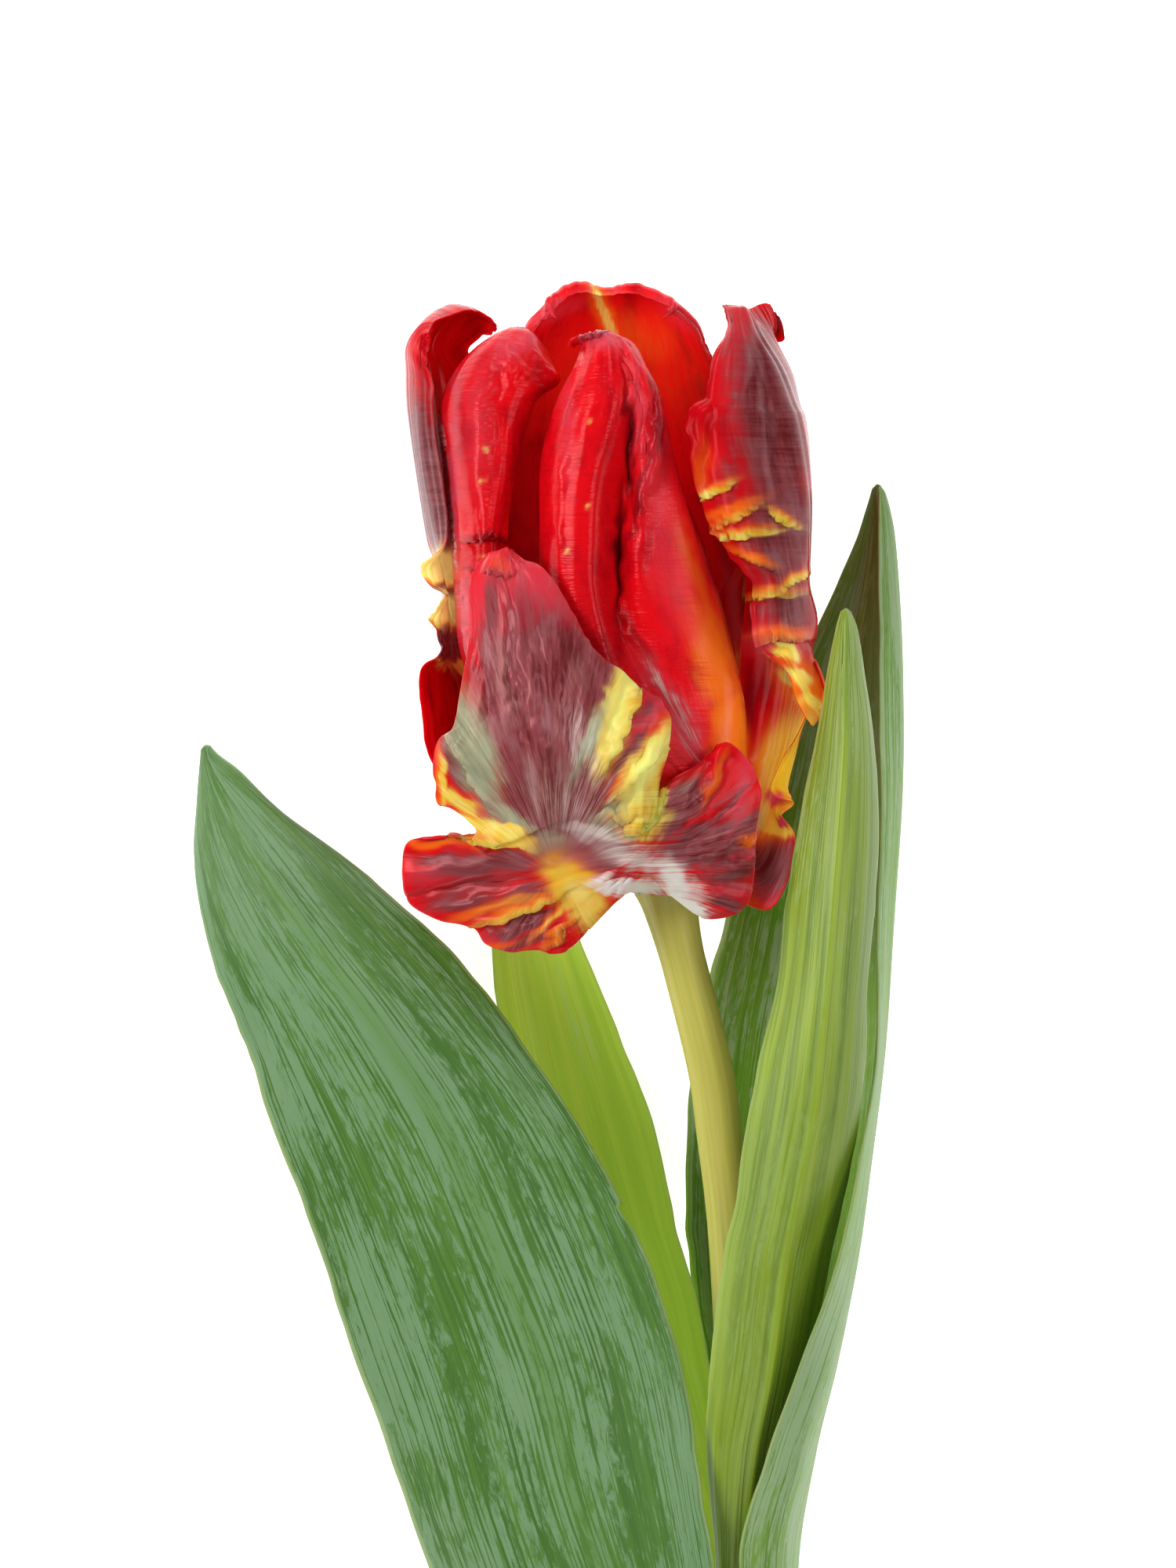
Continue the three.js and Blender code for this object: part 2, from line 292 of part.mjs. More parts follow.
// The front tepal's net: each row falls away from the spine to both margins
function frontNet(rows) {
  return Array.from({ length: rows }, (_, k) => {
    const w = k / (rows - 1);
    const spine = along(FRONT_SPINE, w * (FRONT_SPINE.length - 1));
    const side = (edge, shares) => {
      const [ex, ey] = straight(edge, w);
      const reach = Math.hypot(ex - spine[0], ey - spine[1]);
      const drop = (0.14 * reach + 1.8 * Math.min(1, reach / 6) ** 2) * Math.min(1, w / 0.12);
      return shares.map((f) => [
        spine[0] + (ex - spine[0]) * f, spine[1] + (ey - spine[1]) * f, spine[2] - drop * f ** 1.6,
      ]);
    };
    return [...side(FRONT_LEFT, [1, 0.66, 0.33]), spine, ...side(FRONT_RIGHT, [0.33, 0.66, 1])];
  });
}
NETS.tepal_outer_front = frontNet(35);

// The sheet through a net, sampled across and along
function sheet(net, across, lengthwise) {
  return Array.from({ length: lengthwise }, (_, j) => {
    const line = along(net, (j / (lengthwise - 1)) * (net.length - 1));
    return Array.from({ length: across }, (_, i) => along(line, (i / (across - 1)) * (line.length - 1)));
  });
}

// Closed faceted solid from rings or grids of points
function solid(name, points, faces) {
  const geometry = new BufferGeometry();
  geometry.setAttribute("position", new Float32BufferAttribute(points.flat(), 3));
  geometry.setIndex(faces.flat());
  geometry.computeVertexNormals();
  const mesh = new Mesh(geometry, new MeshStandardMaterial());
  mesh.name = name;
  return mesh;
}

// A sheet given a thickness. Where it would sink below the floor it is pressed flat on it.
function blade(name, net, across, lengthwise, thickness) {
  const grid = sheet(net, across, lengthwise);
  const at = (i, j) => new Vector3(...grid[j][i]);
  const faces = [];
  const outer = [];
  const inner = [];
  for (let j = 0; j < lengthwise; j++) {
    for (let i = 0; i < across; i++) {
      const du = at(Math.min(i + 1, across - 1), j).sub(at(Math.max(i - 1, 0), j));
      const dv = at(i, Math.min(j + 1, lengthwise - 1)).sub(at(i, Math.max(j - 1, 0)));
      const n = du.cross(dv).normalize().multiplyScalar(thickness / 2);
      const low = at(i, j).sub(n);
      const high = at(i, j).add(n);
      const [under, over] = low.z < high.z ? [low, high] : [high, low];
      under.z = Math.max(under.z, FLOOR);
      over.z = Math.max(over.z, FLOOR + thickness);
      outer.push(high.toArray());
      inner.push(low.toArray());
    }
  }
  const count = across * lengthwise;
  const quad = (a, b, c, d) => faces.push([a, b, c], [a, c, d]);
  for (let j = 0; j + 1 < lengthwise; j++) {
    for (let i = 0; i + 1 < across; i++) {
      const a = j * across + i;
      const [b, c, d] = [a + 1, a + across + 1, a + across];
      quad(a, b, c, d);
      faces.push([count + a, count + c, count + b], [count + a, count + d, count + c]);
    }
  }
  const rim = [];
  for (let i = 0; i + 1 < across; i++) rim.push(i);
  for (let j = 0; j + 1 < lengthwise; j++) rim.push(j * across + across - 1);
  for (let i = across - 1; i > 0; i--) rim.push((lengthwise - 1) * across + i);
  for (let j = lengthwise - 1; j > 0; j--) rim.push(j * across);
  rim.forEach((a, k) => {
    const b = rim[(k + 1) % rim.length];
    quad(a, count + a, count + b, b);
  });
  return solid(name, [...outer, ...inner], faces);
}

// A solid of rings with the same number of points, closed at both ends by a middle point
function spindle(name, rings, first, last) {
  const n = rings[0].length;
  const points = [first, ...rings.flat(), last];
  const faces = [];
  for (let i = 0; i < n; i++) {
    const i1 = (i + 1) % n;
    faces.push([0, 1 + i1, 1 + i]);
    for (let j = 0; j + 1 < rings.length; j++) {
      const [a, b] = [1 + j * n + i, 1 + j * n + i1];
      faces.push([a, b, b + n], [a, b + n, a + n]);
    }
    const base = 1 + (rings.length - 1) * n;
    faces.push([base + i, base + i1, points.length - 1]);
  }
  return solid(name, points, faces);
}

function stem() {
  const steps = 26;
  const rings = Array.from({ length: steps + 1 }, (_, k) => {
    const [x, y, z, r] = along(STEM, (k / steps) * (STEM.length - 1));
    return arc(y, r, 0, 360, STEM_SIDES + 1, x, z).slice(0, -1).map((p) => [p[0], p[1], Math.max(p[2], FLOOR)]);
  });
  const [top, foot] = [STEM[0], STEM.at(-1)];
  return spindle("stem", rings, top.slice(0, 3), foot.slice(0, 3));
}

// Three-sided ovary under a three-lobed stigma
function pistil() {
  const base = STEM[0][1] + 0.3;
  const profile = [
    [0, 0.8], [0.06, 1], [0.3, 1.12], [0.62, 1.05], [0.78, 0.82], [0.82, 0.8], [0.87, 1.2], [0.93, 1.5],
    [0.97, 1.4], [1, 0.9],
  ];
  const rings = profile.map(([h, r]) => {
    const lobes = h > 0.84 ? 0.28 : 0.08;
    return Array.from({ length: 18 }, (_, k) => {
      const t = -rad(k * 20);
      const reach = PISTIL_RADIUS * r * (1 + lobes * Math.cos(3 * t));
      return [reach * Math.cos(t), base + PISTIL_HEIGHT * h, reach * Math.sin(t)];
    });
  });
  const top = base + PISTIL_HEIGHT * 0.96;
  return spindle("pistil", rings, [0, base, 0], [0, top, 0]);
}

// A filament that leans outwards and carries a long anther
function stamen(k) {
  const base = STEM[0][1] + 0.3;
  const turn = rad(30 + (360 / STAMEN_COUNT) * k);
  const profile = [
    [0, 0.55, 0], [0.25, 0.5, 0.5], [0.48, 0.35, 1.2], [0.52, 0.8, 1.3], [0.58, 1, 1.5], [0.75, 1.05, 2.1],
    [0.92, 0.9, 2.5], [1, 0.4, 2.6],
  ];
  const rings = profile.map(([h, r, lean]) =>
    Array.from({ length: 8 }, (_, i) => {
      const t = -rad(i * 45);
      const [out, side] = [STAMEN_RING + lean + r * Math.cos(t), r * Math.sin(t) * (h > 0.5 ? 1.25 : 1)];
      return [
        out * Math.cos(turn) - side * Math.sin(turn), base + STAMEN_HEIGHT * h,
        out * Math.sin(turn) + side * Math.cos(turn),
      ];
    }));
  const cap = (h, lean) => [
    (STAMEN_RING + lean) * Math.cos(turn), base + STAMEN_HEIGHT * h, (STAMEN_RING + lean) * Math.sin(turn),
  ];
  return spindle(`stamen_${k + 1}`, rings, cap(0, 0), cap(1.01, 2.6));
}

// Points across and along each blade
const GRIDS = {
  tepal_inner_back: [13, 31], tepal_inner_left: [13, 29], tepal_inner_right: [14, 32],
  tepal_outer_right: [12, 50], tepal_outer_left: [12, 41], tepal_outer_front: [11, 69],
  leaf_right_front: [7, 29], leaf_right_back: [7, 31], leaf_left_back: [7, 23], leaf_left_front: [9, 31],
};

const tulip = new Group();
tulip.name = "parrot_tulip";
tulip.add(stem(), pistil());
for (let k = 0; k < STAMEN_COUNT; k++) tulip.add(stamen(k));
for (const [name, [across, lengthwise]] of Object.entries(GRIDS)) {
  const thickness = name.startsWith("leaf") ? LEAF_THICKNESS : TEPAL_THICKNESS;
  tulip.add(blade(name, NETS[name], across, lengthwise, thickness));
}
tulip.position.set(CENTRE[0], CENTRE[1], -FLOOR);

export default tulip;
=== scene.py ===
# %% [markdown]
# # A cut parrot tulip
# A parrot tulip is a tulip whose tepals (the coloured leaves of the flower) are slashed, fringed and
# twisted. This one lies on a pale table with its stem and four leaves. The lesson builds the flower as a
# grower would take it apart: three inner tepals, three outer ones, pistil and stamens, stem, leaves.
# A flower has no straight edge, so nothing here starts from a box. Each sheet is a net of points that
# is turned into a smooth surface with numpy, and then it gets ruffles, thickness and paint.

import bpy
import numpy as np
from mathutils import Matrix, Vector


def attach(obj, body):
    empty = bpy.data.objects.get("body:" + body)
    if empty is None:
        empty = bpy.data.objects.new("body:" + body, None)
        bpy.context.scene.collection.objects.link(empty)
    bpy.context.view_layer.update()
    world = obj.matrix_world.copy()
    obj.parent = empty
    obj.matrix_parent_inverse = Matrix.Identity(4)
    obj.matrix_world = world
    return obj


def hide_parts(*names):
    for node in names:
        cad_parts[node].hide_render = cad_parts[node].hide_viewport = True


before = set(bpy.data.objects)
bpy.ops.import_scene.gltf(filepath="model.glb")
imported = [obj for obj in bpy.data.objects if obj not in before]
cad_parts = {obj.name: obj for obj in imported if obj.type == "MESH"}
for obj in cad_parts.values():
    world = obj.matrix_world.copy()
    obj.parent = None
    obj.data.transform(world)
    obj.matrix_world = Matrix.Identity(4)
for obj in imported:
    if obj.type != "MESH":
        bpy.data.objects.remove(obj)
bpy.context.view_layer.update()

# %% [markdown]
# ## Camera
# The flower lies down and is seen from straight above, so its long stem runs up the picture. A long lens
# from 1.2 m keeps the near tepals from looking larger than the far ones. A camera that is not turned
# looks down the Z axis with Y at the top, which is what is needed here, so only its place is set.

# %% Camera
MM = 0.001
SHIFT = np.array([15.2, 55.9, 25.2])  # from the middle of the bloom's base to the frame, in mm
VIEW_MIDDLE = (-10, 14)  # middle of the picture, in mm from the middle of the bloom's base
VIEW_HEIGHT = 200  # mm of flower between the picture's lower and upper edge
VIEW_DISTANCE = 1200  # mm from the camera down to the bloom's middle

camera = bpy.data.objects.new("camera", bpy.data.cameras.new("camera"))
bpy.context.scene.collection.objects.link(camera)
camera.location = Vector(SHIFT + (*VIEW_MIDDLE, VIEW_DISTANCE)) * MM
camera.data.sensor_width = 36
camera.data.lens = camera.data.sensor_width * VIEW_DISTANCE / VIEW_HEIGHT
bpy.context.scene.camera = camera
bpy.context.scene.view_settings.view_transform = "Standard"
print("camera", [round(c, 4) for c in camera.location], "lens", camera.data.lens)

# %% [markdown] ## Table A cut flower lies on a pale table top. One large flat face is enough for it,
# since its edges are never seen. It glows a little, which keeps it pale in shadow.

# %% Table
FAR = 4  # metres from the table's middle to each edge


def plain_paint(name, colour, roughness, glow):
    """A plain material for the table, which isn't part of the flower."""
    material = bpy.data.materials.new(name)
    material.use_nodes = True
    shader = material.node_tree.nodes["Principled BSDF"]
    shader.inputs["Base Color"].default_value = (*colour, 1)
    shader.inputs["Roughness"].default_value = roughness
    shader.inputs["Emission Color"].default_value = (1, 1, 1, 1)
    shader.inputs["Emission Strength"].default_value = glow
    return material


top = bpy.data.meshes.new("table")
top.from_pydata([(-FAR, -FAR, 0), (FAR, -FAR, 0), (FAR, FAR, 0), (-FAR, FAR, 0)], [], [(0, 1, 2, 3)])
top.materials.append(plain_paint("table_white", (0.9, 0.9, 0.9), 0.8, 0.85))
table = bpy.data.objects.new("table", top)
bpy.context.scene.collection.objects.link(table)
print("the table is", 2 * FAR, "m wide")

# %% [markdown]
# ## Light
# Petals are thin and glow when light comes from several sides. Four soft lamps stand round the flower,
# and the strongest, on the left, draws the long highlights on the rolled tepals. One big light all round
# would be simpler, but it would lay a grey haze over the red, so the world is dim.

# %% Light
LAMP_AIM = Vector((0, 0.08, 0.02))  # metres, inside the bloom
WORLD_STRENGTH = 0.16


def soft_lamp(name, place, size, power):
    """A square area lamp of `size` metres and `power` watts at `place` in metres. It looks at the bloom."""
    lamp = bpy.data.objects.new(name, bpy.data.lights.new(name, "AREA"))
    bpy.context.scene.collection.objects.link(lamp)
    lamp.location = place
    lamp.rotation_euler = (LAMP_AIM - Vector(place)).to_track_quat("-Z", "Y").to_euler()
    lamp.data.size, lamp.data.energy = size, power
    return lamp


world = bpy.data.worlds.new("studio")
bpy.context.scene.world = world
world.use_nodes = True
world.node_tree.nodes["Background"].inputs["Color"].default_value = (1, 1, 1, 1)
world.node_tree.nodes["Background"].inputs["Strength"].default_value = WORLD_STRENGTH
lamps = [
    soft_lamp("lamp_left", (-0.75, 0.25, 0.8), 0.55, 8.6),
    soft_lamp("lamp_right", (0.85, 0.1, 0.75), 0.5, 3.2),
    soft_lamp("lamp_top", (0.1, 0.95, 0.6), 0.5, 3.8),
    soft_lamp("lamp_foot", (0.1, -0.9, 0.75), 0.5, 2.6),
]
print(len(lamps), "lamps over the table")

# %% [markdown]
# ## From a net to a surface
# A tepal could be sculpted, or modelled as a subdivided cage. A net of measured points is easier to
# repeat and to correct: each row of the net is a cut across the tepal. Catmull-Rom curves run through
# every point, first along the tepal, then across it.

# %% Curves and surfaces
def spline(knots, n):
    """The Catmull-Rom curve through `knots` (first axis), at n even steps. Between b and c it is the cubic
    that leaves b along half of c - a and reaches c along half of d - b. Past the ends it runs on straight."""
    knots = np.asarray(knots, float)
    led = np.concatenate([2 * knots[:1] - knots[1:2], knots, 2 * knots[-1:] - knots[-2:-1]])
    t = np.linspace(0, len(knots) - 1, n)
    i = np.minimum(t.astype(int), len(knots) - 2)
    f = (t - i).reshape(-1, *[1] * (knots.ndim - 1))
    a, b, c, d = led[i], led[i + 1], led[i + 2], led[i + 3]
    return 0.5 * (2 * b + (c - a) * f + (2 * a - 5 * b + 4 * c - d) * f**2 + (3 * b - a - 3 * c + d) * f**3)


def sheet(net, across, lengthwise):
    """The surface through a net: curves along its columns, then curves across the rows they make."""
    return spline(spline(net, lengthwise).swapaxes(0, 1), across).swapaxes(0, 1)


def unit(vectors):
    """Vectors divided by their own length."""
    return vectors / np.maximum(np.linalg.norm(vectors, axis=-1, keepdims=True), 1e-9)


def facing(grid):
    """Directions across and along a surface, and their cross product: the way its outer face looks."""
    across, along = unit(np.gradient(grid, axis=1)), unit(np.gradient(grid, axis=0))
    return across, along, unit(np.cross(across, along))


def run(grid, axis):
    """How far each point is from the first one on its line, in mm: the sum of the steps up to it."""
    steps = np.linalg.norm(np.diff(grid, axis=axis), axis=-1)
    return np.insert(np.cumsum(steps, axis=axis), 0, 0, axis=axis)


def ramp(x, low, high):
    """0 below `low`, 1 above `high`, and an S-shaped step 3t^2 - 2t^3 between them."""
    t = np.clip((x - low) / (high - low), 0, 1)
    return t * t * (3 - 2 * t)


def waver(n, every, seed):
    """n samples of a smooth curve through random values between -1 and 1, one for each `every` samples."""
    return spline(np.random.default_rng(seed).uniform(-1, 1, int(n / every) + 3), n)


print("a curve through 0, 2 and 0, at five even steps:", spline([0, 2, 0], 5))

# %% [markdown]
# ## The nets
# Points are millimetres from the middle of the bloom's base: x to the flower's right, y towards its tip
# and z up from the table. Each row runs from the left margin to the right one, as seen from outside the
# flower. These are the same nets as those of the solid model, so both have the same form.

# %% Stem line and net helpers
FLOOR = -25.2  # height of the table in this system
INNER_RING, OUTER_RING = 4.9, 6.0  # radii at which the inner and the outer tepals join the stem
# Stem: x, y, z and radius, from the receptacle inside the bloom to the cut end
STEM = [
    [0, 2.5, 0, 4.0], [0, 0.5, 0, 4.2], [0.5, -2, -0.2, 3.5], [1.6, -6.5, -0.6, 3.0], [2.8, -11, -1.1, 2.9],
    [5.7, -22.7, -2.4, 2.9], [6.9, -31.3, -3.4, 2.9], [8.1, -41, -4.6, 2.9], [8.9, -50.9, -5.7, 3.0],
    [9.8, -68, -7.7, 3.1], [10.5, -86, -9.8, 3.2], [11.2, -105, -12, 3.3], [11.8, -130, -15, 3.4],
    [12.2, -160, -18.4, 3.4], [12.4, -190, -21.8, 3.4],
]


def row(y, *xz):
    """Points at one height y, from pairs of x and z."""
    return [(xz[i], y, xz[i + 1]) for i in range(0, len(xz), 2)]


def pts(*xyz):
    """Points from triples of x, y and z."""
    return [xyz[i : i + 3] for i in range(0, len(xyz), 3)]


def arc(y, r, start, end, n, cx=0, cz=0):
    """n points on a circle round (cx, cz), from one angle to another, in degrees."""
    t = np.radians(np.linspace(start, end, n))
    return np.stack([cx + r * np.cos(t), np.full(n, y), cz + r * np.sin(t)], 1)


def sheath(y, r, start, end):
    """Five points on a circle of the radius r round the stem, where a leaf clasps it."""
    line = np.array(STEM)[::-1]
    cx, cz = (np.interp(y, line[:, 1], line[:, k]) for k in (0, 2))
    return arc(y, r, start, end, 5, cx, cz)


print("the stem is", run(np.array(STEM)[None, :, :3], 1)[0, -1].round(1), "mm long")

# %% [markdown]
# ## Nets of the inner tepals
# The inner three close over the cup, one behind and one on each side. Each is a hollow blade that rolls its
# edges inwards, so its rows are arcs, wide in the middle and narrow at both ends. The lowest row is an arc
# of the ring on which the tepals stand.

# %% Nets of the inner tepals
NETS = {
    # The back one of the inner three: a broad hooded tepal whose rim curls forward
    "tepal_inner_back": [
        arc(1, INNER_RING, 320, 220, 7),
        row(8, 7.2,-5, 5.6,-7.6, 3,-9.4, -1,-10.2, -5,-9.6, -8,-8, -9.8,-5.6),
        row(18, 8.6,-3, 8,-9, 4,-13.5, -3,-15.5, -9.5,-14.5, -13.8,-11.8, -15.8,-8),
        row(30, 8.2,-2, 9.3,-7.5, 5.2,-13.6, -4.5,-17.4, -14,-16, -19.4,-12, -21,-7.6),
        row(37, 6.8,-1, 9.8,-6.6, 6,-13.4, -5,-17.6, -15.5,-16.2, -21.4,-12, -22.8,-7),
        row(43, 8.8,-2.4, 9.8,-7, 5.6,-13.2, -6,-17, -17,-15.6, -22.4,-11, -23.2,-6.6),
        row(54, 9.2,-2.6, 9.2,-6.2, 4.6,-11.2, -7,-14.6, -18,-13.4, -22.6,-9.4, -23.2,-4.8),
        row(64, 7,-1.6, 7.2,-3.8, 3.4,-7.2, -7.5,-9.4, -17,-8.6, -21,-5.6, -20.4,-1.6),
        pts(5.4,68.6,-.4, 5,70,-2, 1.6,71.6,-4.2, -7.5,72.6,-5.6, -15,71.2,-4.6, -18.8,69.8,-2.4,
            -18.4,68.6,-.4),
        pts(2.8,72.4,.4, 2.6,73.8,-.8, -1,75.6,-2.4, -7.5,75.6,-3.4, -13,75.4,-2.6, -17,73.4,-1,
            -16.8,71.8,.4),
        pts(.8,74.2,1.4, .8,75.6,.2, -3.5,77.7,-1, -7.8,77.2,-2, -11.8,77.9,-1, -15.2,75.6,.2, -15,74,1.4),
        pts(-.2,73.4,2.8, .2,74.6,2, -3.6,76.5,.9, -7.8,76.4,.2, -11.6,76.7,.9, -14.4,74.6,2,
            -14.2,73.2,2.8),
    ],
    # The left one of the inner three, rolled into a tube along its front
    "tepal_inner_left": [
        arc(1, INNER_RING, 200, 100, 7),
        row(10, -12,-4, -13.5,0, -13.5,4, -11.5,7.5, -8,9.5, -4,10, -1,9.5),
        row(20, -18,-6, -20.5,0, -21,6, -19,10.5, -15.5,12.5, -12,12.5, -9,11),
        row(30, -22.5,-5, -25,1, -25.5,7, -23.5,11.5, -20.5,13, -18,12, -17,9),
        row(38, -24,-4, -26.2,2, -26.4,8, -24,12.5, -21.8,13.5, -20,11.5, -20.5,8),
        row(46, -24.5,-4, -26.8,2, -26.8,9, -24,13.5, -22,14, -20.2,11, -21,7),
        row(54, -25,-3.6, -27.8,2, -27.6,9, -24.5,13.5, -21,13.5, -19.2,10, -20.5,6),
        row(62, -24,-3, -27.8,1.5, -28.4,8, -25,12.5, -20.5,13, -17.6,11, -17,6),
        pts(-22,67,-1, -26,66.5,3, -26,67,8, -22.5,68,11.4, -18,67,12, -14.2,65.5,9.6, -13.6,65,5.5),
        pts(-20,70,2, -22.6,70,4.5, -22.4,70.4,7.6, -20.3,71,9.4, -17.6,70.4,10, -15.4,68.6,8.6,
            -14.4,67.6,5.6),
        pts(-19.4,71,3, -20.2,71.4,4.5, -19.6,71.8,6.4, -18.7,72,7.8, -17.4,71.6,8, -16.4,70.9,7.2,
            -15.8,69.8,5.4),
    ],
    # The right one of the inner three, creased down its middle, its tip hooked
    "tepal_inner_right": [
        arc(1, INNER_RING, 80, -20, 8),
        row(10, .3,10.2, 2,10.2, 4,9.6, 6,8.4, 7.6,6.6, 8.8,4.4, 9.5,2, 9.6,-.5),
        row(20, -5,8.5, -6.5,11.5, -5,13.8, -2,14, 1,12.4, 4.4,11.6, 7.8,8.5, 10,3),
        row(26, -8,8.5, -10,12, -8.5,15, -5.4,15.4, -2.6,13, 2,13.2, 7.2,10.6, 9.4,5),
        row(31, -10,8, -13,12, -11.5,15.6, -8,16.3, -4.9,13, .6,14, 5.8,12, 8.4,6),
        row(38, -12.5,8, -15.5,12, -13.5,16.5, -9.6,17.6, -6.2,13.2, -2,14.6, 4,12.5, 6.5,7),
        row(46, -13,8, -16,12, -14,17, -9.8,18, -6.2,13.6, -3,15, 2.2,13.5, 4,8),
        row(54, -13,8, -15.9,12, -13.5,17, -8.8,18, -5,14, -2.5,15.6, .8,13, 0,8),
        row(62, -11.5,8, -13.9,12, -11.5,16.5, -7.2,18, -3.8,15.6, -2,16.4, -.8,14.2, -2,10),
        pts(-10.6,67.4,9, -11.6,67,12, -9.8,67.6,15, -7.4,68.2,16.4, -5.4,67.4,15.8, -4,67.2,15.8,
            -3,66.6,14, -4,66.6,10.5),
        pts(-11,69.2,11, -11,69.6,12.4, -9.6,70,14.2, -8,70.4,15, -6.4,70,14.8, -5.2,69.6,14.4,
            -4.4,69.2,13.2, -5,68.6,11),
        pts(-12.4,69.2,12.4, -12,70,13.2, -10.6,70.9,13.8, -9,71.2,14, -7.6,71.2,13.8, -6.6,70.9,13.2,
            -6,70.4,12.2, -6.2,69.8,11),
    ],
}
print("nets so far:", list(NETS))

# %% [markdown]
# ## Nets of the outer tepals
# The outer three bend away from the cup and twist, so their rows don't stay level. Where a row runs
# obliquely, each of its points has a height of its own. The front one has a form that rows can't follow
# well, and gets its net in another way, further down.

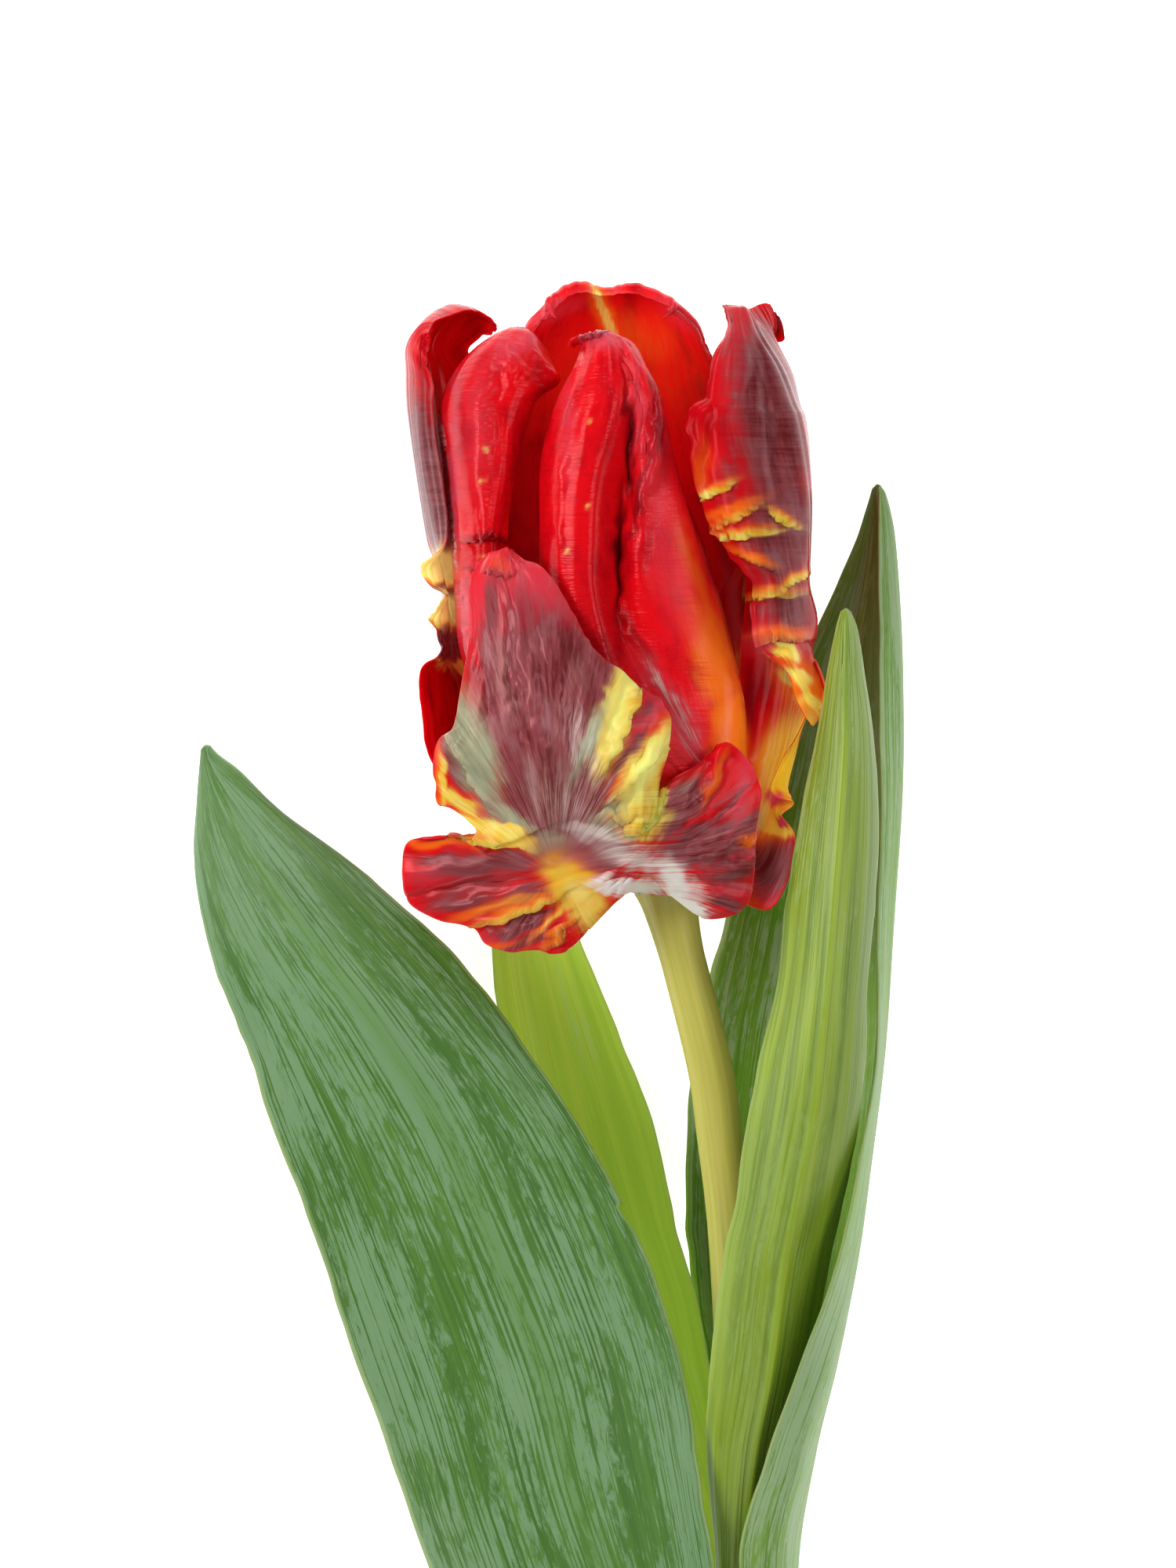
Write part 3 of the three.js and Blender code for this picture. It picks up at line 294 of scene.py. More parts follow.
# %% Nets of the outer tepals
NETS |= {
    # The right one of the outer three: a scroll with a flared foot, a flange and a twisted tongue
    "tepal_outer_right": [
        arc(1, OUTER_RING, 22, -82, 7),
        pts(9,-.8,5, 9.3,2,3, 9,4,0, 9,4.5,-3, 8,5,-6, 4.5,5,-9.8, 1,5,-11.4),
        pts(13,-1.9,6.5, 12,2.5,5, 11.3,6,2.5, 12,8,-1.5, 10.5,8.5,-7, 6,9,-12, 1,9,-14.2),
        pts(15.4,1.8,7, 13.6,5,5.6, 12.7,8.5,3.5, 13,10.5,-1, 11.8,11,-7.5, 7,11.5,-13.2, 1.3,11.5,-16),
        pts(16.2,7,6.6, 14.6,8.5,5.4, 13.6,11,3.5, 13.9,12.5,-1, 12.6,13,-8, 7.6,13.5,-14.2,
            1.6,13.5,-17.2),
        pts(14.2,10,6.6, 13.9,11,5, 14,13,3, 14.4,14.5,-1, 13.2,14.5,-8.3, 8,15,-15, 1.8,15,-18),
        pts(15.9,11.6,6.2, 15.2,13,4.4, 15,14.5,2.4, 15,16,-1.5, 13.7,16.5,-8.5, 8.4,16.5,-15.6,
            2,16.5,-18.8),
        pts(13.2,13.4,5.6, 15.2,15,4, 15.8,16.5,1.8, 15.7,18,-2, 14.2,18,-9, 9,18,-16.4, 2,18,-19.6),
        row(22, 17.4,3, 17.3,1, 17.1,-1, 16.6,-4, 14.8,-10.5, 9.5,-18, 2.3,-21.4),
        row(27, 18,4, 18.2,2, 18.1,-.5, 17.4,-4.5, 15.6,-11.6, 10.5,-19.4, 2.6,-23.2),
        pts(18.9,29.6,6, 18.5,29.5,3, 18.2,29.5,0, 17.6,30,-4.5, 15.8,30,-12, 11,30,-20.2, 2.8,30,-24),
        pts(20.2,24.2,7, 18.7,29.6,4.6, 18.4,30.6,.6, 17.7,31,-4.5, 15.8,31,-12, 11,31,-20.4, 3,31,-24.2),
        pts(18.5,21.2,7.6, 18.1,29.8,5.8, 18.5,31.6,1.2, 17.8,32,-4.3, 15.9,32,-12, 11,32,-20.6,
            3,32,-24.3),
        pts(16.2,25,8.2, 16.9,30.4,7, 18.7,32.6,1.8, 17.9,33,-4, 15.9,33,-12, 11,33,-20.8, 3,33,-24.4),
        pts(14.2,29.6,8.8, 15.8,32,8.6, 18.9,34,2.4, 18,34.5,-4, 15.9,34.5,-12, 11.1,34.5,-21,
            3,34.5,-24.6),
        pts(11.3,32,9, 14.2,33.2,10, 18.8,35.6,3.2, 18,36,-4, 15.9,36,-12, 11.2,36,-21.2, 3,36,-24.8),
        row(39.5, 11,9.5, 13.6,11.4, 17.6,6.5, 17.8,-3, 15.9,-12, 11.3,-21.4, 3,-25),
        row(43.5, 7.2,11, 12,12.6, 17.5,7, 17.9,-2.5, 16,-12, 11.5,-21.4, 3.3,-25),
        row(50, 4.3,12.5, 10,13.4, 17.4,7.5, 18,-2, 16.2,-11.5, 12,-20.4, 4,-24.4),
        row(56, 2.6,13, 8,13.6, 16.5,8, 17.9,-2, 16,-11, 12,-18.6, 5,-22.8),
        row(60.4, 2.2,12.6, 7.5,13.2, 15.6,8, 17.4,-2, 15.4,-10, 12,-16, 6,-20),
        row(62.2, 5,11, 8,12.4, 15,7.6, 17,-2, 15.2,-9, 12,-14.4, 7,-17.4),
        row(66.5, 5.9,9, 8,11, 13.4,7, 15.9,-1, 15,-7, 12,-10.4, 8.5,-12),
        row(71, 7.2,6.5, 8.4,8.4, 11,6.4, 13,1, 13.6,-3.4, 12,-6.4, 10.5,-7.4),
        pts(7.4,73.8,4, 8.4,74,5.4, 10,74.2,4.6, 11.4,73,1.4, 13,73,-2, 14,72.2,-4.4, 14.9,70.7,-5.2),
        pts(7.2,74.6,2, 8.2,74.7,3, 9.6,74.8,3, 10.6,74.6,1, 12,75.3,-1.5, 13.1,75.3,-3.2, 14.5,73.4,-4.2),
    ],
    # The left one of the outer three: a flared foot, two frilled lobes and a hooded tip
    "tepal_outer_left": [
        arc(1, OUTER_RING, 262, 158, 7),
        row(6, -1.5,-11.6, -5,-11, -8.8,-9, -11.6,-5.6, -13.2,-1.2, -14.4,2.6, -15,5.5),
        row(12, -3,-16.4, -9,-15.8, -14.8,-13, -19,-8.6, -22,-3, -24,1, -25.4,5),
        row(17, -4,-19.6, -11,-18.6, -17.8,-15, -22.4,-9.8, -25.2,-4.6, -27.4,-1, -29.8,1.6),
        row(22.5, -5,-22, -13,-21.2, -20.5,-17, -24.8,-10.2, -26.6,-4.8, -28.4,-.6, -31,1.8),
        pts(-5.5,27,-23.6, -15,27,-22.8, -23,27,-18, -26.4,27.3,-10.6, -27.6,27.5,-4.4, -29,27.8,-.2,
            -31.5,28,2.4),
        pts(-6,29,-24, -16,29,-23.4, -24,29.3,-18.4, -27.6,29.6,-10.6, -28.5,29.8,-3.5, -28.5,29.8,1,
            -28.9,29.9,4.8),
        pts(-6,31.5,-24.2, -16.5,31.5,-23.8, -25,31.5,-18.6, -27.9,31.5,-10.4, -28.4,31.5,-2,
            -28.3,31.5,3.4, -27.7,31.5,7.4),
        pts(-6.3,33.4,-24.4, -17,33.4,-24.2, -25.4,33.4,-18.8, -28,33.2,-10.4, -28.1,33,-2, -28,33,4.4,
            -29,33.2,6),
        pts(-6.5,34.6,-24.5, -17,34.6,-24.4, -25.6,34.6,-18.8, -28,34.6,-10.4, -28,34.4,-2, -28.1,34.6,4.8,
            -30.2,35,6.4),
        pts(-6.6,36,-24.6, -17.2,36,-24.6, -25.8,36,-18.8, -28.2,36,-10.4, -28,36,-2, -28,36.2,4.6,
            -28.6,36.6,7.4),
        pts(-7,38,-24.8, -17.5,38,-24.8, -26,38,-18.8, -28.6,38,-10.4, -28.3,38,-2, -28.1,38,4.2,
            -27.5,38.2,8),
        pts(-7.3,39.6,-24.9, -17.7,39.6,-24.9, -26.1,39.6,-18.8, -28.9,39.6,-10.4, -28.8,39.6,-2,
            -28.6,39.6,4.8, -30,39.4,6.6),
        pts(-7.5,41.2,-25, -17.9,41.2,-25, -26.4,41.2,-18.8, -29.2,41.2,-10.4, -29.2,41.2,-2,
            -28.9,41.4,5.4, -31,41.6,7.2),
        pts(-7.7,43.2,-25, -18.2,43.2,-25, -26.7,43.2,-18.7, -29.6,43.2,-10.3, -29.7,43.2,-2, -29.2,43.4,5,
            -28.2,43.8,9.6),
        row(46, -8,-25, -18.5,-25, -27,-18.6, -30,-10.2, -30.4,-2, -29.8,5, -27.9,10.4),
        row(54, -10,-24.8, -20,-24.2, -27.8,-17.6, -31.3,-9, -31.9,0, -31,6, -28.9,10.8),
        row(62, -13,-22, -21,-20.6, -28.2,-15, -32.3,-8, -33.1,0, -32,6, -29.8,10),
        pts(-20,66,-15.4, -24.5,66.5,-15.8, -29,67,-12.5, -32.5,67,-7, -33.2,67,-.5, -32.2,66.5,5.6,
            -30,65.5,8.4),
        pts(-25.4,69,-8, -27.2,70,-10, -30,70.4,-9.5, -32.3,70,-6, -33,69.6,-.5, -32.4,69,4.4,
            -30.4,67.8,6.4),
        pts(-24.2,71,-4.6, -25.6,72.6,-6.5, -28,74,-6.6, -30.6,73.4,-4.5, -32,71.8,-.2, -31.9,70.8,2.8,
            -30.5,69.6,4.6),
        pts(-22.8,71.4,-1.8, -23.8,73.4,-2.8, -26.4,75,-2.6, -28.6,74.9,-1.2, -30.6,73.2,1.2, -31,71.8,2.8,
            -30.3,70.6,4.2),
        pts(-22.1,71.4,.6, -22,72.6,1.4, -24,73.9,2.4, -26.4,74,3, -28.8,73,3.6, -29.8,71.9,4,
            -29.8,71.2,4.6),
    ],
}
print("nets so far:", list(NETS))

# %% [markdown]
# ## Nets of the leaves
# A tulip leaf clasps the stem with its foot and opens into a long boat. Its first rows lie on a circle
# round the stem, and the others flatten out towards the tip. Five points across are enough, because
# nothing on a leaf is narrower than its fold along the middle.

# %% Nets of the leaves
NETS |= {
    # The front leaf on the right: boat-shaped, its edges turned up
    "leaf_right_front": [
        sheath(-105, 4.2, 165, 15),
        sheath(-98, 4.5, 168, 12),
        pts(6.3,-86,-5, 7.5,-86,-3, 10,-86,-3.2, 13,-86,-5, 15.2,-86,-9),
        pts(5.3,-72,0, 7.5,-72,2.2, 11,-72,2, 14.4,-72,-1, 16.8,-72,-5.4),
        pts(5.6,-60.6,3, 9,-60.6,5.4, 13,-60.6,5.2, 16.4,-60.6,2.4, 18.6,-60.6,-1.6),
        pts(6.9,-47.1,5.6, 10.6,-47.1,8.2, 14.8,-47.1,8.4, 18.6,-47.1,5.6, 21,-47.1,1.4),
        pts(8.6,-37.9,7, 12.4,-37.9,9.8, 16.6,-37.9,10.2, 20.4,-37.9,7.6, 22.8,-37.9,3.4),
        pts(11,-26,8, 14.6,-26,11, 18.6,-26,11.8, 22.2,-26,9.4, 24.4,-26,5.8),
        pts(13.6,-12,8.4, 16.6,-12,12, 20,-12,13.4, 23.4,-12,11, 25.4,-12,7.6),
        pts(15.3,0,9.2, 18,0,12.2, 21,0,13.8, 24.4,0,11.2, 26.5,0,7.6),
        pts(17.1,10,9.6, 19.2,10,12, 21.8,10,13.4, 24.8,10,11.2, 26.8,10,7.6),
        pts(18.9,20,9.9, 20.3,20,11.8, 22.4,20,12.9, 24.7,20,11, 26.1,20,8),
        pts(20.2,28,10, 21.2,28,11.2, 22.5,28,11.9, 24,28,10.7, 25,28,8.6),
        pts(21.3,33.4,9.9, 21.9,33.6,10.5, 22.6,33.8,10.9, 23.5,33.6,10.3, 24.1,33.4,9.4),
        pts(22,35.8,9.9, 22.3,36,10.1, 22.6,36.2,10.2, 22.9,36,10, 23.2,35.8,9.7),
    ],
    # The back leaf on the right: its right edge folds forward over the one in front
    "leaf_right_back": [
        sheath(-134, 4.2, 285, 400),
        sheath(-121, 5, 277, 405),
        sheath(-104, 5.9, 264, 412),
        pts(9.8,-86,-18, 14.6,-86,-17.4, 17,-86,-11.6, 14.6,-86,-2, 9.4,-86,.6),
        pts(6.5,-72,-18.6, 13.4,-72,-18, 18.8,-72,-10.6, 17.4,-72,2, 12.6,-72,5.6),
        pts(4.9,-60,-19.4, 12.4,-60,-19, 20.9,-60,-11, 21,-60,2, 17,-60,8),
        pts(3,-47.6,-20.4, 12.6,-47.6,-20.4, 22.6,-47.6,-12, 24,-47.6,0, 21,-47.6,9),
        pts(2.6,-34.6,-21.6, 13.8,-34.6,-21.8, 24.4,-34.6,-13, 26,-34.6,-3, 24.4,-34.6,7),
        pts(4,-20,-23.2, 15.5,-20,-23.4, 26,-20,-15, 27.9,-20,-7, 26.4,-20,2.6),
        pts(7.4,-5,-24.6, 18,-5,-24.6, 27,-5,-16.5, 29,-5,-9, 26.9,-5,-1),
        pts(11.5,12,-24.8, 20.5,12,-24.4, 28,12,-16.5, 30.1,12,-9.5, 27.3,12,-3.5),
        pts(15.5,25,-23.4, 22.5,25,-22.6, 28.4,25,-16, 30.3,25,-10.5, 27.4,25,-6.5),
        pts(20.5,36,-20, 25,36,-19.2, 28.4,36,-14.8, 29.9,36,-11, 27.3,36,-8.5),
        pts(24.4,45,-15.8, 26.5,45.4,-15.2, 28.3,45.6,-12.8, 29.3,45.6,-11, 27.4,45.6,-9.4),
        pts(26,50,-12.8, 26.8,50.4,-12.6, 27.6,50.8,-11.8, 28.3,50.8,-11, 27.5,50.6,-10.2),
        pts(26.6,52,-11.6, 26.9,52.3,-11.5, 27.2,52.6,-11.3, 27.6,52.4,-11, 27.4,52.2,-10.6),
    ],
    # The back leaf on the left, which lies along the surface
    "leaf_left_back": [
        sheath(-100, 4.2, 184, 290),
        sheath(-92, 4.6, 180, 284),
        pts(3.2,-80,-12, 3,-80,-15, 5.4,-80,-16.4, 8.2,-80,-16.2, 10,-80,-15),
        pts(-3.8,-66,-13.6, -3.2,-66,-16.8, .4,-66,-18.2, 4.4,-66,-17.2, 6.8,-66,-15.2),
        pts(-10.4,-54,-15.4, -8.6,-54,-18.8, -3.6,-54,-20, 1.4,-54,-18.6, 4.4,-54,-16.2),
        pts(-16,-42.7,-17.4, -13,-42.7,-20.8, -7.4,-42.7,-22.2, -2.2,-42.7,-20.6, 1.2,-42.7,-18),
        pts(-19.5,-30,-19.4, -16,-30,-22.8, -11,-30,-24, -5.8,-30,-22.6, -1.6,-30,-20.2),
        pts(-21.4,-18,-21, -18.4,-18,-24, -14,-18,-25, -9.6,-18,-23.9, -6.2,-18,-21.6),
        pts(-22.2,-7,-21.8, -20,-7,-24.2, -16.6,-7,-25, -13.2,-7,-24.2, -10.8,-7,-22.4),
        pts(-21.6,4,-22.2, -20.2,4,-23.9, -18,4,-24.5, -15.8,4,-23.9, -14.4,4,-22.8),
        pts(-20.4,11,-22.8, -19.6,11.2,-23.6, -18.7,11.4,-23.9, -17.7,11.2,-23.6, -17,11,-23),
        pts(-19.6,14.6,-23.2, -19.2,14.8,-23.4, -18.8,15,-23.5, -18.4,14.8,-23.4, -18,14.6,-23.2),
    ],
    # The big front leaf on the left
    "leaf_left_front": [
        sheath(-148, 4.2, 240, 80),
        sheath(-138, 5.4, 248, 68),
        pts(-3,-128,-19.4, -1.5,-126,-12.4, 4,-124,-8, 9.5,-122,-6.8, 15,-121,-8.6),
        pts(-14,-119,-20, -9,-114,-12, -1,-110,-5.6, 6,-108,-3, 12.6,-107,-4),
        pts(-23.5,-104,-19.4, -15.8,-98,-11, -6,-93.5,-3.6, 1.8,-91,.2, 7.4,-91.5,2),
        pts(-31.5,-86,-17.6, -22,-81,-9.6, -11.6,-77,-3, -1.5,-74.5,1.2, 4.4,-75,3.6),
        pts(-37,-69,-15.4, -27,-64,-8, -16,-60,-2, -5.6,-57.6,1.4, 2.1,-60,2.6),
        pts(-42.6,-53,-13, -33,-47.6,-6.4, -22.6,-43.4,-1.4, -12,-41.4,1.4, -3.6,-44,2.2),
        pts(-46.8,-40.3,-11, -38.4,-34.6,-5.4, -28.8,-29.6,-1, -19,-27.6,1, -9.9,-31.6,1.2),
        pts(-51.7,-26.5,-9.4, -44.8,-21.4,-4.8, -36.8,-17,-1, -28,-15.4,.4, -19.6,-17.1,.2),
        pts(-54.4,-18.4,-9, -49,-13.6,-5, -42.4,-9.6,-1.8, -34.6,-7.6,-.6, -27.2,-7.7,-1),
        pts(-57.5,-10.4,-9, -53.4,-6,-5.6, -47.8,-2.2,-3, -41.4,0,-1.8, -35.2,-.3,-2),
        pts(-59.8,-2.8,-9.6, -56.8,1,-6.8, -52.2,4.2,-4.6, -47,6.4,-3.4, -42,5.2,-3.4),
        pts(-60.7,4.6,-10.8, -58.8,7.4,-8.6, -55.6,10,-6.6, -52.2,11.4,-5.6, -49.4,10.6,-5.4),
        pts(-60.4,11,-12.2, -59.4,12.8,-10.8, -57.8,14.2,-9.4, -56,15,-8.6, -54.4,15.4,-8.2),
        pts(-60.1,15.6,-13, -59.6,16.4,-12.4, -58.9,17,-11.8, -58.2,17.4,-11.4, -57.4,17.7,-11),
        pts(-59.9,18.4,-13.4, -59.6,18.8,-13.2, -59.3,19,-13, -59,19,-12.8, -58.7,18.9,-12.6),
    ],
}
print("nets so far:", list(NETS))

# %% [markdown]
# ## The front tepal's net
# This tepal is short, bends outwards and has an arm on each side, so rows across it would be hard to
# write down. Three lines are enough: its left margin, its spine and its right margin. Each row then
# falls away from the spine towards both margins, more where the margin is far off.

# %% Front tepal
FRONT_LEFT = [
    [-4.4,.3], [-6.8,.6], [-9.1,-.4], [-10.6,-2.3], [-11.4,-3.8], [-12.5,-6.7], [-14.8,-7.5], [-16.2,-6.9],
    [-18.2,-6.9], [-20.2,-7.1], [-22.9,-6.1], [-24.6,-4], [-28.6,-3.2], [-31.3,-1.9], [-32.8,-.4],
    [-33.3,1.5], [-33,6.5], [-29.9,7.3], [-26,6.6], [-23.6,5.7], [-24.8,7.1], [-24.4,8.4], [-27.1,10.7],
    [-29,11.5], [-29.2,14.2], [-29.4,16.5], [-28.6,19.5], [-27,20.7], [-26.5,22.6], [-25.9,26.8],
    [-25.2,30.6], [-24.8,34.5], [-24.8,38.7], [-24,41], [-22.5,42.9],
]
FRONT_SPINE = [
    [0,0,6], [-1.2,1.6,9.6], [-2.6,3,13], [-3.4,3.8,14.4], [-4,4.4,15.2], [-4.4,4.8,15.8], [-5,5.4,16.4],
    [-6.8,7.2,17.8], [-9,10.2,19.4], [-10.3,12.9,20.4], [-11.8,16.5,21.2], [-13.3,21,21.8], [-15.2,27,22],
    [-17,33,21.4], [-18.9,39,20], [-20.4,43.6,17.2],
]
FRONT_RIGHT = [
    [2.6,-.5], [3.6,-1.5], [4.7,-3.2], [8.9,-2.5], [11,0], [11.2,5.7], [11.2,9.6], [12,13.4], [11.2,15.7],
    [9.7,18], [7.8,19.8], [6.2,18.8], [4.3,16.7], [.1,14.8], [-.3,10.3], [-2.6,7.9], [-1,10.4], [-.6,14.8],
    [.3,19.1], [.3,22.2], [-1.4,24.9], [-3.1,26], [-4.5,27.5], [-6.4,28.7], [-9.1,30.8], [-10,31.9],
    [-10.6,32.9], [-11.5,34.5], [-12.5,36.4], [-14,39.4], [-16,41.5], [-17.9,42.1], [-19.5,43.5],
]
# How a row falls away from the spine: mm lower for each mm outwards, mm more of sag and the reach in mm at
# which it is complete, share of the length at which both are complete, and how late the fall begins
FALL, SAG, SAG_REACH, SAG_START, SAG_POWER = 0.14, 1.8, 6, 0.12, 1.6
FRONT_ROWS = 35


def straight(corners, w):
    """Points at the shares w of an open list of points, in straight steps."""
    t = np.arange(len(corners)) / (len(corners) - 1)
    return np.stack([np.interp(w, t, c) for c in np.array(corners, float).T], 1)


def front_net(rows):
    """Rows of seven points. One that is a share f of the way out to the margin lies lower than the spine by
    drop * f^SAG_POWER. The drop is FALL for each mm that the margin is away, and up to SAG mm more, all of it
    from SAG_REACH mm on. It grows from nothing at the base to its full size at the share SAG_START."""
    w = np.linspace(0, 1, rows)
    spine = spline(FRONT_SPINE, rows)
    columns = []
    for corners, shares in ((FRONT_LEFT, (1, 0.66, 0.33)), (FRONT_RIGHT, (0, 0.33, 0.66, 1))):
        out = straight(corners, w) - spine[:, :2]
        reach = np.linalg.norm(out, axis=1)
        drop = (FALL * reach + SAG * np.minimum(1, reach / SAG_REACH) ** 2) * np.minimum(1, w / SAG_START)
        for f in shares:
            columns.append(np.column_stack([spine[:, :2] + out * f, spine[:, 2] - drop * f**SAG_POWER]))
    return np.stack(columns, 1)


NETS["tepal_outer_front"] = front_net(FRONT_ROWS)
NETS = {name: np.array(net, float) for name, net in NETS.items()}
print({name: net.shape[:2] for name, net in NETS.items()})

# %% [markdown]
# ## Ruffles and teeth
# The nets give the big form. The look of a parrot tulip comes from smaller things, and first of all from a
# margin that waves up and down and has fine teeth. They could be modelled in the net, but are added to the
# finished grid of points, where they can be as fine as wanted and fade out away from the margin.

# %% Ruffled margins
TOOTH = 0.45  # how far teeth reach sideways, as a share of a ruffle's height, and inwards, of its width


def along_margin(knots, n):
    """Values between knots that are spread evenly from base to tip."""
    return np.interp(np.linspace(0, 1, n), np.linspace(0, 1, len(knots)), knots)


def ruffle(grid, left, right, seed, wave=5.0, tooth=1.8, width=3.0):
    """Moves both margins by random waves. `left` and `right` hold the amplitude in mm at even steps from base
    to tip. A point at the distance d from a margin goes along its normal by
    amplitude * waves * e^-(d / width)^2, and sideways by
    TOOTH * amplitude * teeth * e^-(d / (TOOTH * width))^2.
    A wave is about `wave` mm long and a tooth `tooth` mm, and finer teeth sit on the teeth."""
    n, m = grid.shape[:2]
    across, _, out = facing(grid)
    s = run(grid, 1)
    length = run(grid, 0)[-1, m // 2]
    for k, (knots, d, side) in enumerate(((left, s, -1), (right, s[:, -1:] - s, 1))):
        amp = along_margin(knots, n)[:, None]
        near = np.exp(-((d / width) ** 2))
        lift = waver(n, n * wave / length, seed + 10 * k)[:, None] * amp * near
        teeth = waver(n, n * tooth / length, seed + 10 * k + 5)[:, None]
        teeth = teeth + 0.6 * waver(n, n * tooth / 2.3 / length, seed + 10 * k + 7)[:, None]
        reach = TOOTH * side * teeth * amp * np.exp(-((d / (TOOTH * width)) ** 2))
        grid = grid + out * lift[..., None] + across * reach[..., None]
    return grid

print("a margin of five points with its ruffle in the middle:", along_margin((0, 1, 0), 5))

# %% [markdown]
# ## Folds
# A tepal also has short folds: low hills and hollows, and tears whose lip stands up. Sculpting them by hand
# couldn't be repeated, so each is a small formula with a place, a size and a turn. They only lie on the
# front of the flower, where they are seen.

# %% Folds
FRONT = (-6, 0)  # heights in mm between which folds begin and are whole


def drift(n, m, rows, columns, seed):
    """A smooth random field between -1 and 1: a spline surface through rows x columns random values."""
    knots = np.random.default_rng(seed).uniform(-1, 1, (rows, columns))
    return spline(spline(knots, n).T, m).T


def turned(x, y, spot):
    """Places along and across the axis of a spot, in units of its half length and half width."""
    cx, cy, rx, ry, turn = spot[:5]
    c, s = np.cos(np.radians(turn)), np.sin(np.radians(turn))
    return ((x - cx) * c + (y - cy) * s) / rx, ((y - cy) * c - (x - cx) * s) / ry


def bulge(grid, x, y, hills, tears):
    """Raises the front of a surface towards z, where it stands higher than FRONT. Each spot is x, y, half
    length, half width, turn in degrees and height in mm. A hill is height * e^-(a^2 + b^2), with a along
    and b across its axis. A tear is a fold that swells slowly and ends in a lip: height * e^-a^4 * e^-b on
    one side of its axis and nothing on the other. The lip also hangs over that other side, by half its
    height."""
    rise, over = np.zeros_like(x), np.zeros((*x.shape, 2))
    for spot in hills:
        a, b = turned(x, y, spot)
        rise += spot[5] * np.exp(-(a**2 + b**2))
    for spot in tears:
        a, b = turned(x, y, spot)
        lip = spot[5] * np.exp(-(a**4)) * ramp(b, -0.12, 0.08)
        rise += lip * np.exp(-np.maximum(b, 0))
        t = np.radians(spot[4])
        over += 0.5 * (lip * np.exp(-np.maximum(b, 0) * 3))[..., None] * np.array([np.sin(t), -np.cos(t)])
    return grid + np.concatenate([over, rise[..., None]], -1) * ramp(grid[..., 2], *FRONT)[..., None]


print("the place 3, 4 on the axes of a spot at 1, 2:", np.round(turned(3, 4, (1, 2, 2, 2, 90)), 2))

# %% [markdown]
# ## From a surface to a blade
# A sheet without thickness has no edge that catches light, and can't be printed. The blade has an outer
# and an inner face, half a thickness to each side along the normal. It thins out towards its margin, as a
# petal does, and a strip of faces closes the rim. Numbers that the paint needs, such as how far a point
# is from the margin, are kept on the mesh as attributes.

# %% Meshes from grids
THIN, SOFT = 0.3, 1.6  # share of the thickness that a margin keeps, and mm until it is whole
CLEAR = 0.02  # mm between the flower and the table


def new_piece(name, points, faces, material, node, flow, values):
    """A smooth mesh from points in mm round the bloom's base. `flow` gives each point its place on the
    pattern in mm, and `values` are numbers that the material reads."""
    mesh = bpy.data.meshes.new(name)
    mesh.from_pydata((points + SHIFT) * MM, [], faces)
    mesh.shade_smooth()
    corners = np.zeros(len(mesh.loops), int)
    mesh.loops.foreach_get("vertex_index", corners)
    mesh.uv_layers.new(name="flow").uv.foreach_set("vector", flow[corners].ravel().astype(np.float32))
    for key, value in values.items():
        layer = mesh.attributes.new(key, "FLOAT", "POINT")
        layer.data.foreach_set("value", np.ascontiguousarray(value, np.float32).ravel())
    mesh.materials.append(material)
    piece = bpy.data.objects.new(name, mesh)
    bpy.context.scene.collection.objects.link(piece)
    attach(piece, "root")
    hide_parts(node)
    print(name, len(points), "points", len(faces), "faces")
    return piece


def on_table(points):
    """The same points, with none of them lower than the table."""
    return np.stack([points[:, 0], points[:, 1], np.maximum(points[:, 2], FLOOR + CLEAR)], 1)


def blade_shell(grid, thickness, foot=False):
    """Outer and inner face of a sheet and the strip round its rim. The thickness grows from THIN * thickness
    at the margin to all of it SOFT mm further in, also at the base if `foot` is set. Also gives how far each
    point is from the margin."""
    n, m = grid.shape[:2]
    s, t = run(grid, 1), run(grid, 0)
    edge = np.minimum.reduce([s, s[:, -1:] - s, t[-1:] - t, t if foot else np.full_like(t, SOFT)])
    half = facing(grid)[2] * (thickness / 2 * (THIN + (1 - THIN) * ramp(edge, 0, SOFT)))[..., None]
    points = np.concatenate([(grid + half).reshape(-1, 3), (grid - half).reshape(-1, 3)])
    index = np.arange(n * m).reshape(n, m)
    outer = np.stack([index[:-1, :-1], index[:-1, 1:], index[1:, 1:], index[1:, :-1]], -1).reshape(-1, 4)
    inner = outer[:, ::-1] + n * m
    rim = np.concatenate([index[0, :-1], index[:-1, -1], index[-1, :0:-1], index[:0:-1, 0]])
    ahead = np.roll(rim, -1)
    band = np.stack([rim, rim + n * m, ahead + n * m, ahead], 1)
    return on_table(points), np.concatenate([outer, inner, band]), edge


def both_faces(flow, apart):
    """Pattern places for both faces of a blade. The inner one's lie `apart` mm away, so the two differ."""
    flow = flow.reshape(-1, 2)
    return np.concatenate([flow, flow + (apart, 0)])


print("a blade of 3 x 3 points has", len(blade_shell(sheet(NETS["leaf_left_back"], 3, 3), 0.5)[1]), "faces")

# %% [markdown]
# ## Where the colours go
# The paint of a tulip isn't one flat red. There is a yellow glow at the base, a dusky purple flame on the
# backs of the outer tepals, and yellow or green where the margin is slashed. Each colour gets a mask: soft
# patches, placed as seen from above. Textures alone could not put them in their places.

# %% Colour patches
PAINTS = ("warm", "gold", "dusk", "rose", "mint", "silk", "shade", "speck", "cross", "calm", "lit")


def patches(x, y, marks):
    """The strongest of a list of soft patches: x, y, half length, half width, turn in degrees and strength.
    A patch is strength * e^-(a^2 + b^2)^1.2, which fades softly round its rim."""
    mask = np.zeros(x.shape)
    for mark in marks:
        a, b = turned(x, y, mark)
        mask = np.maximum(mask, mark[5] * np.exp(-((a**2 + b**2) ** 1.2)))
    return mask


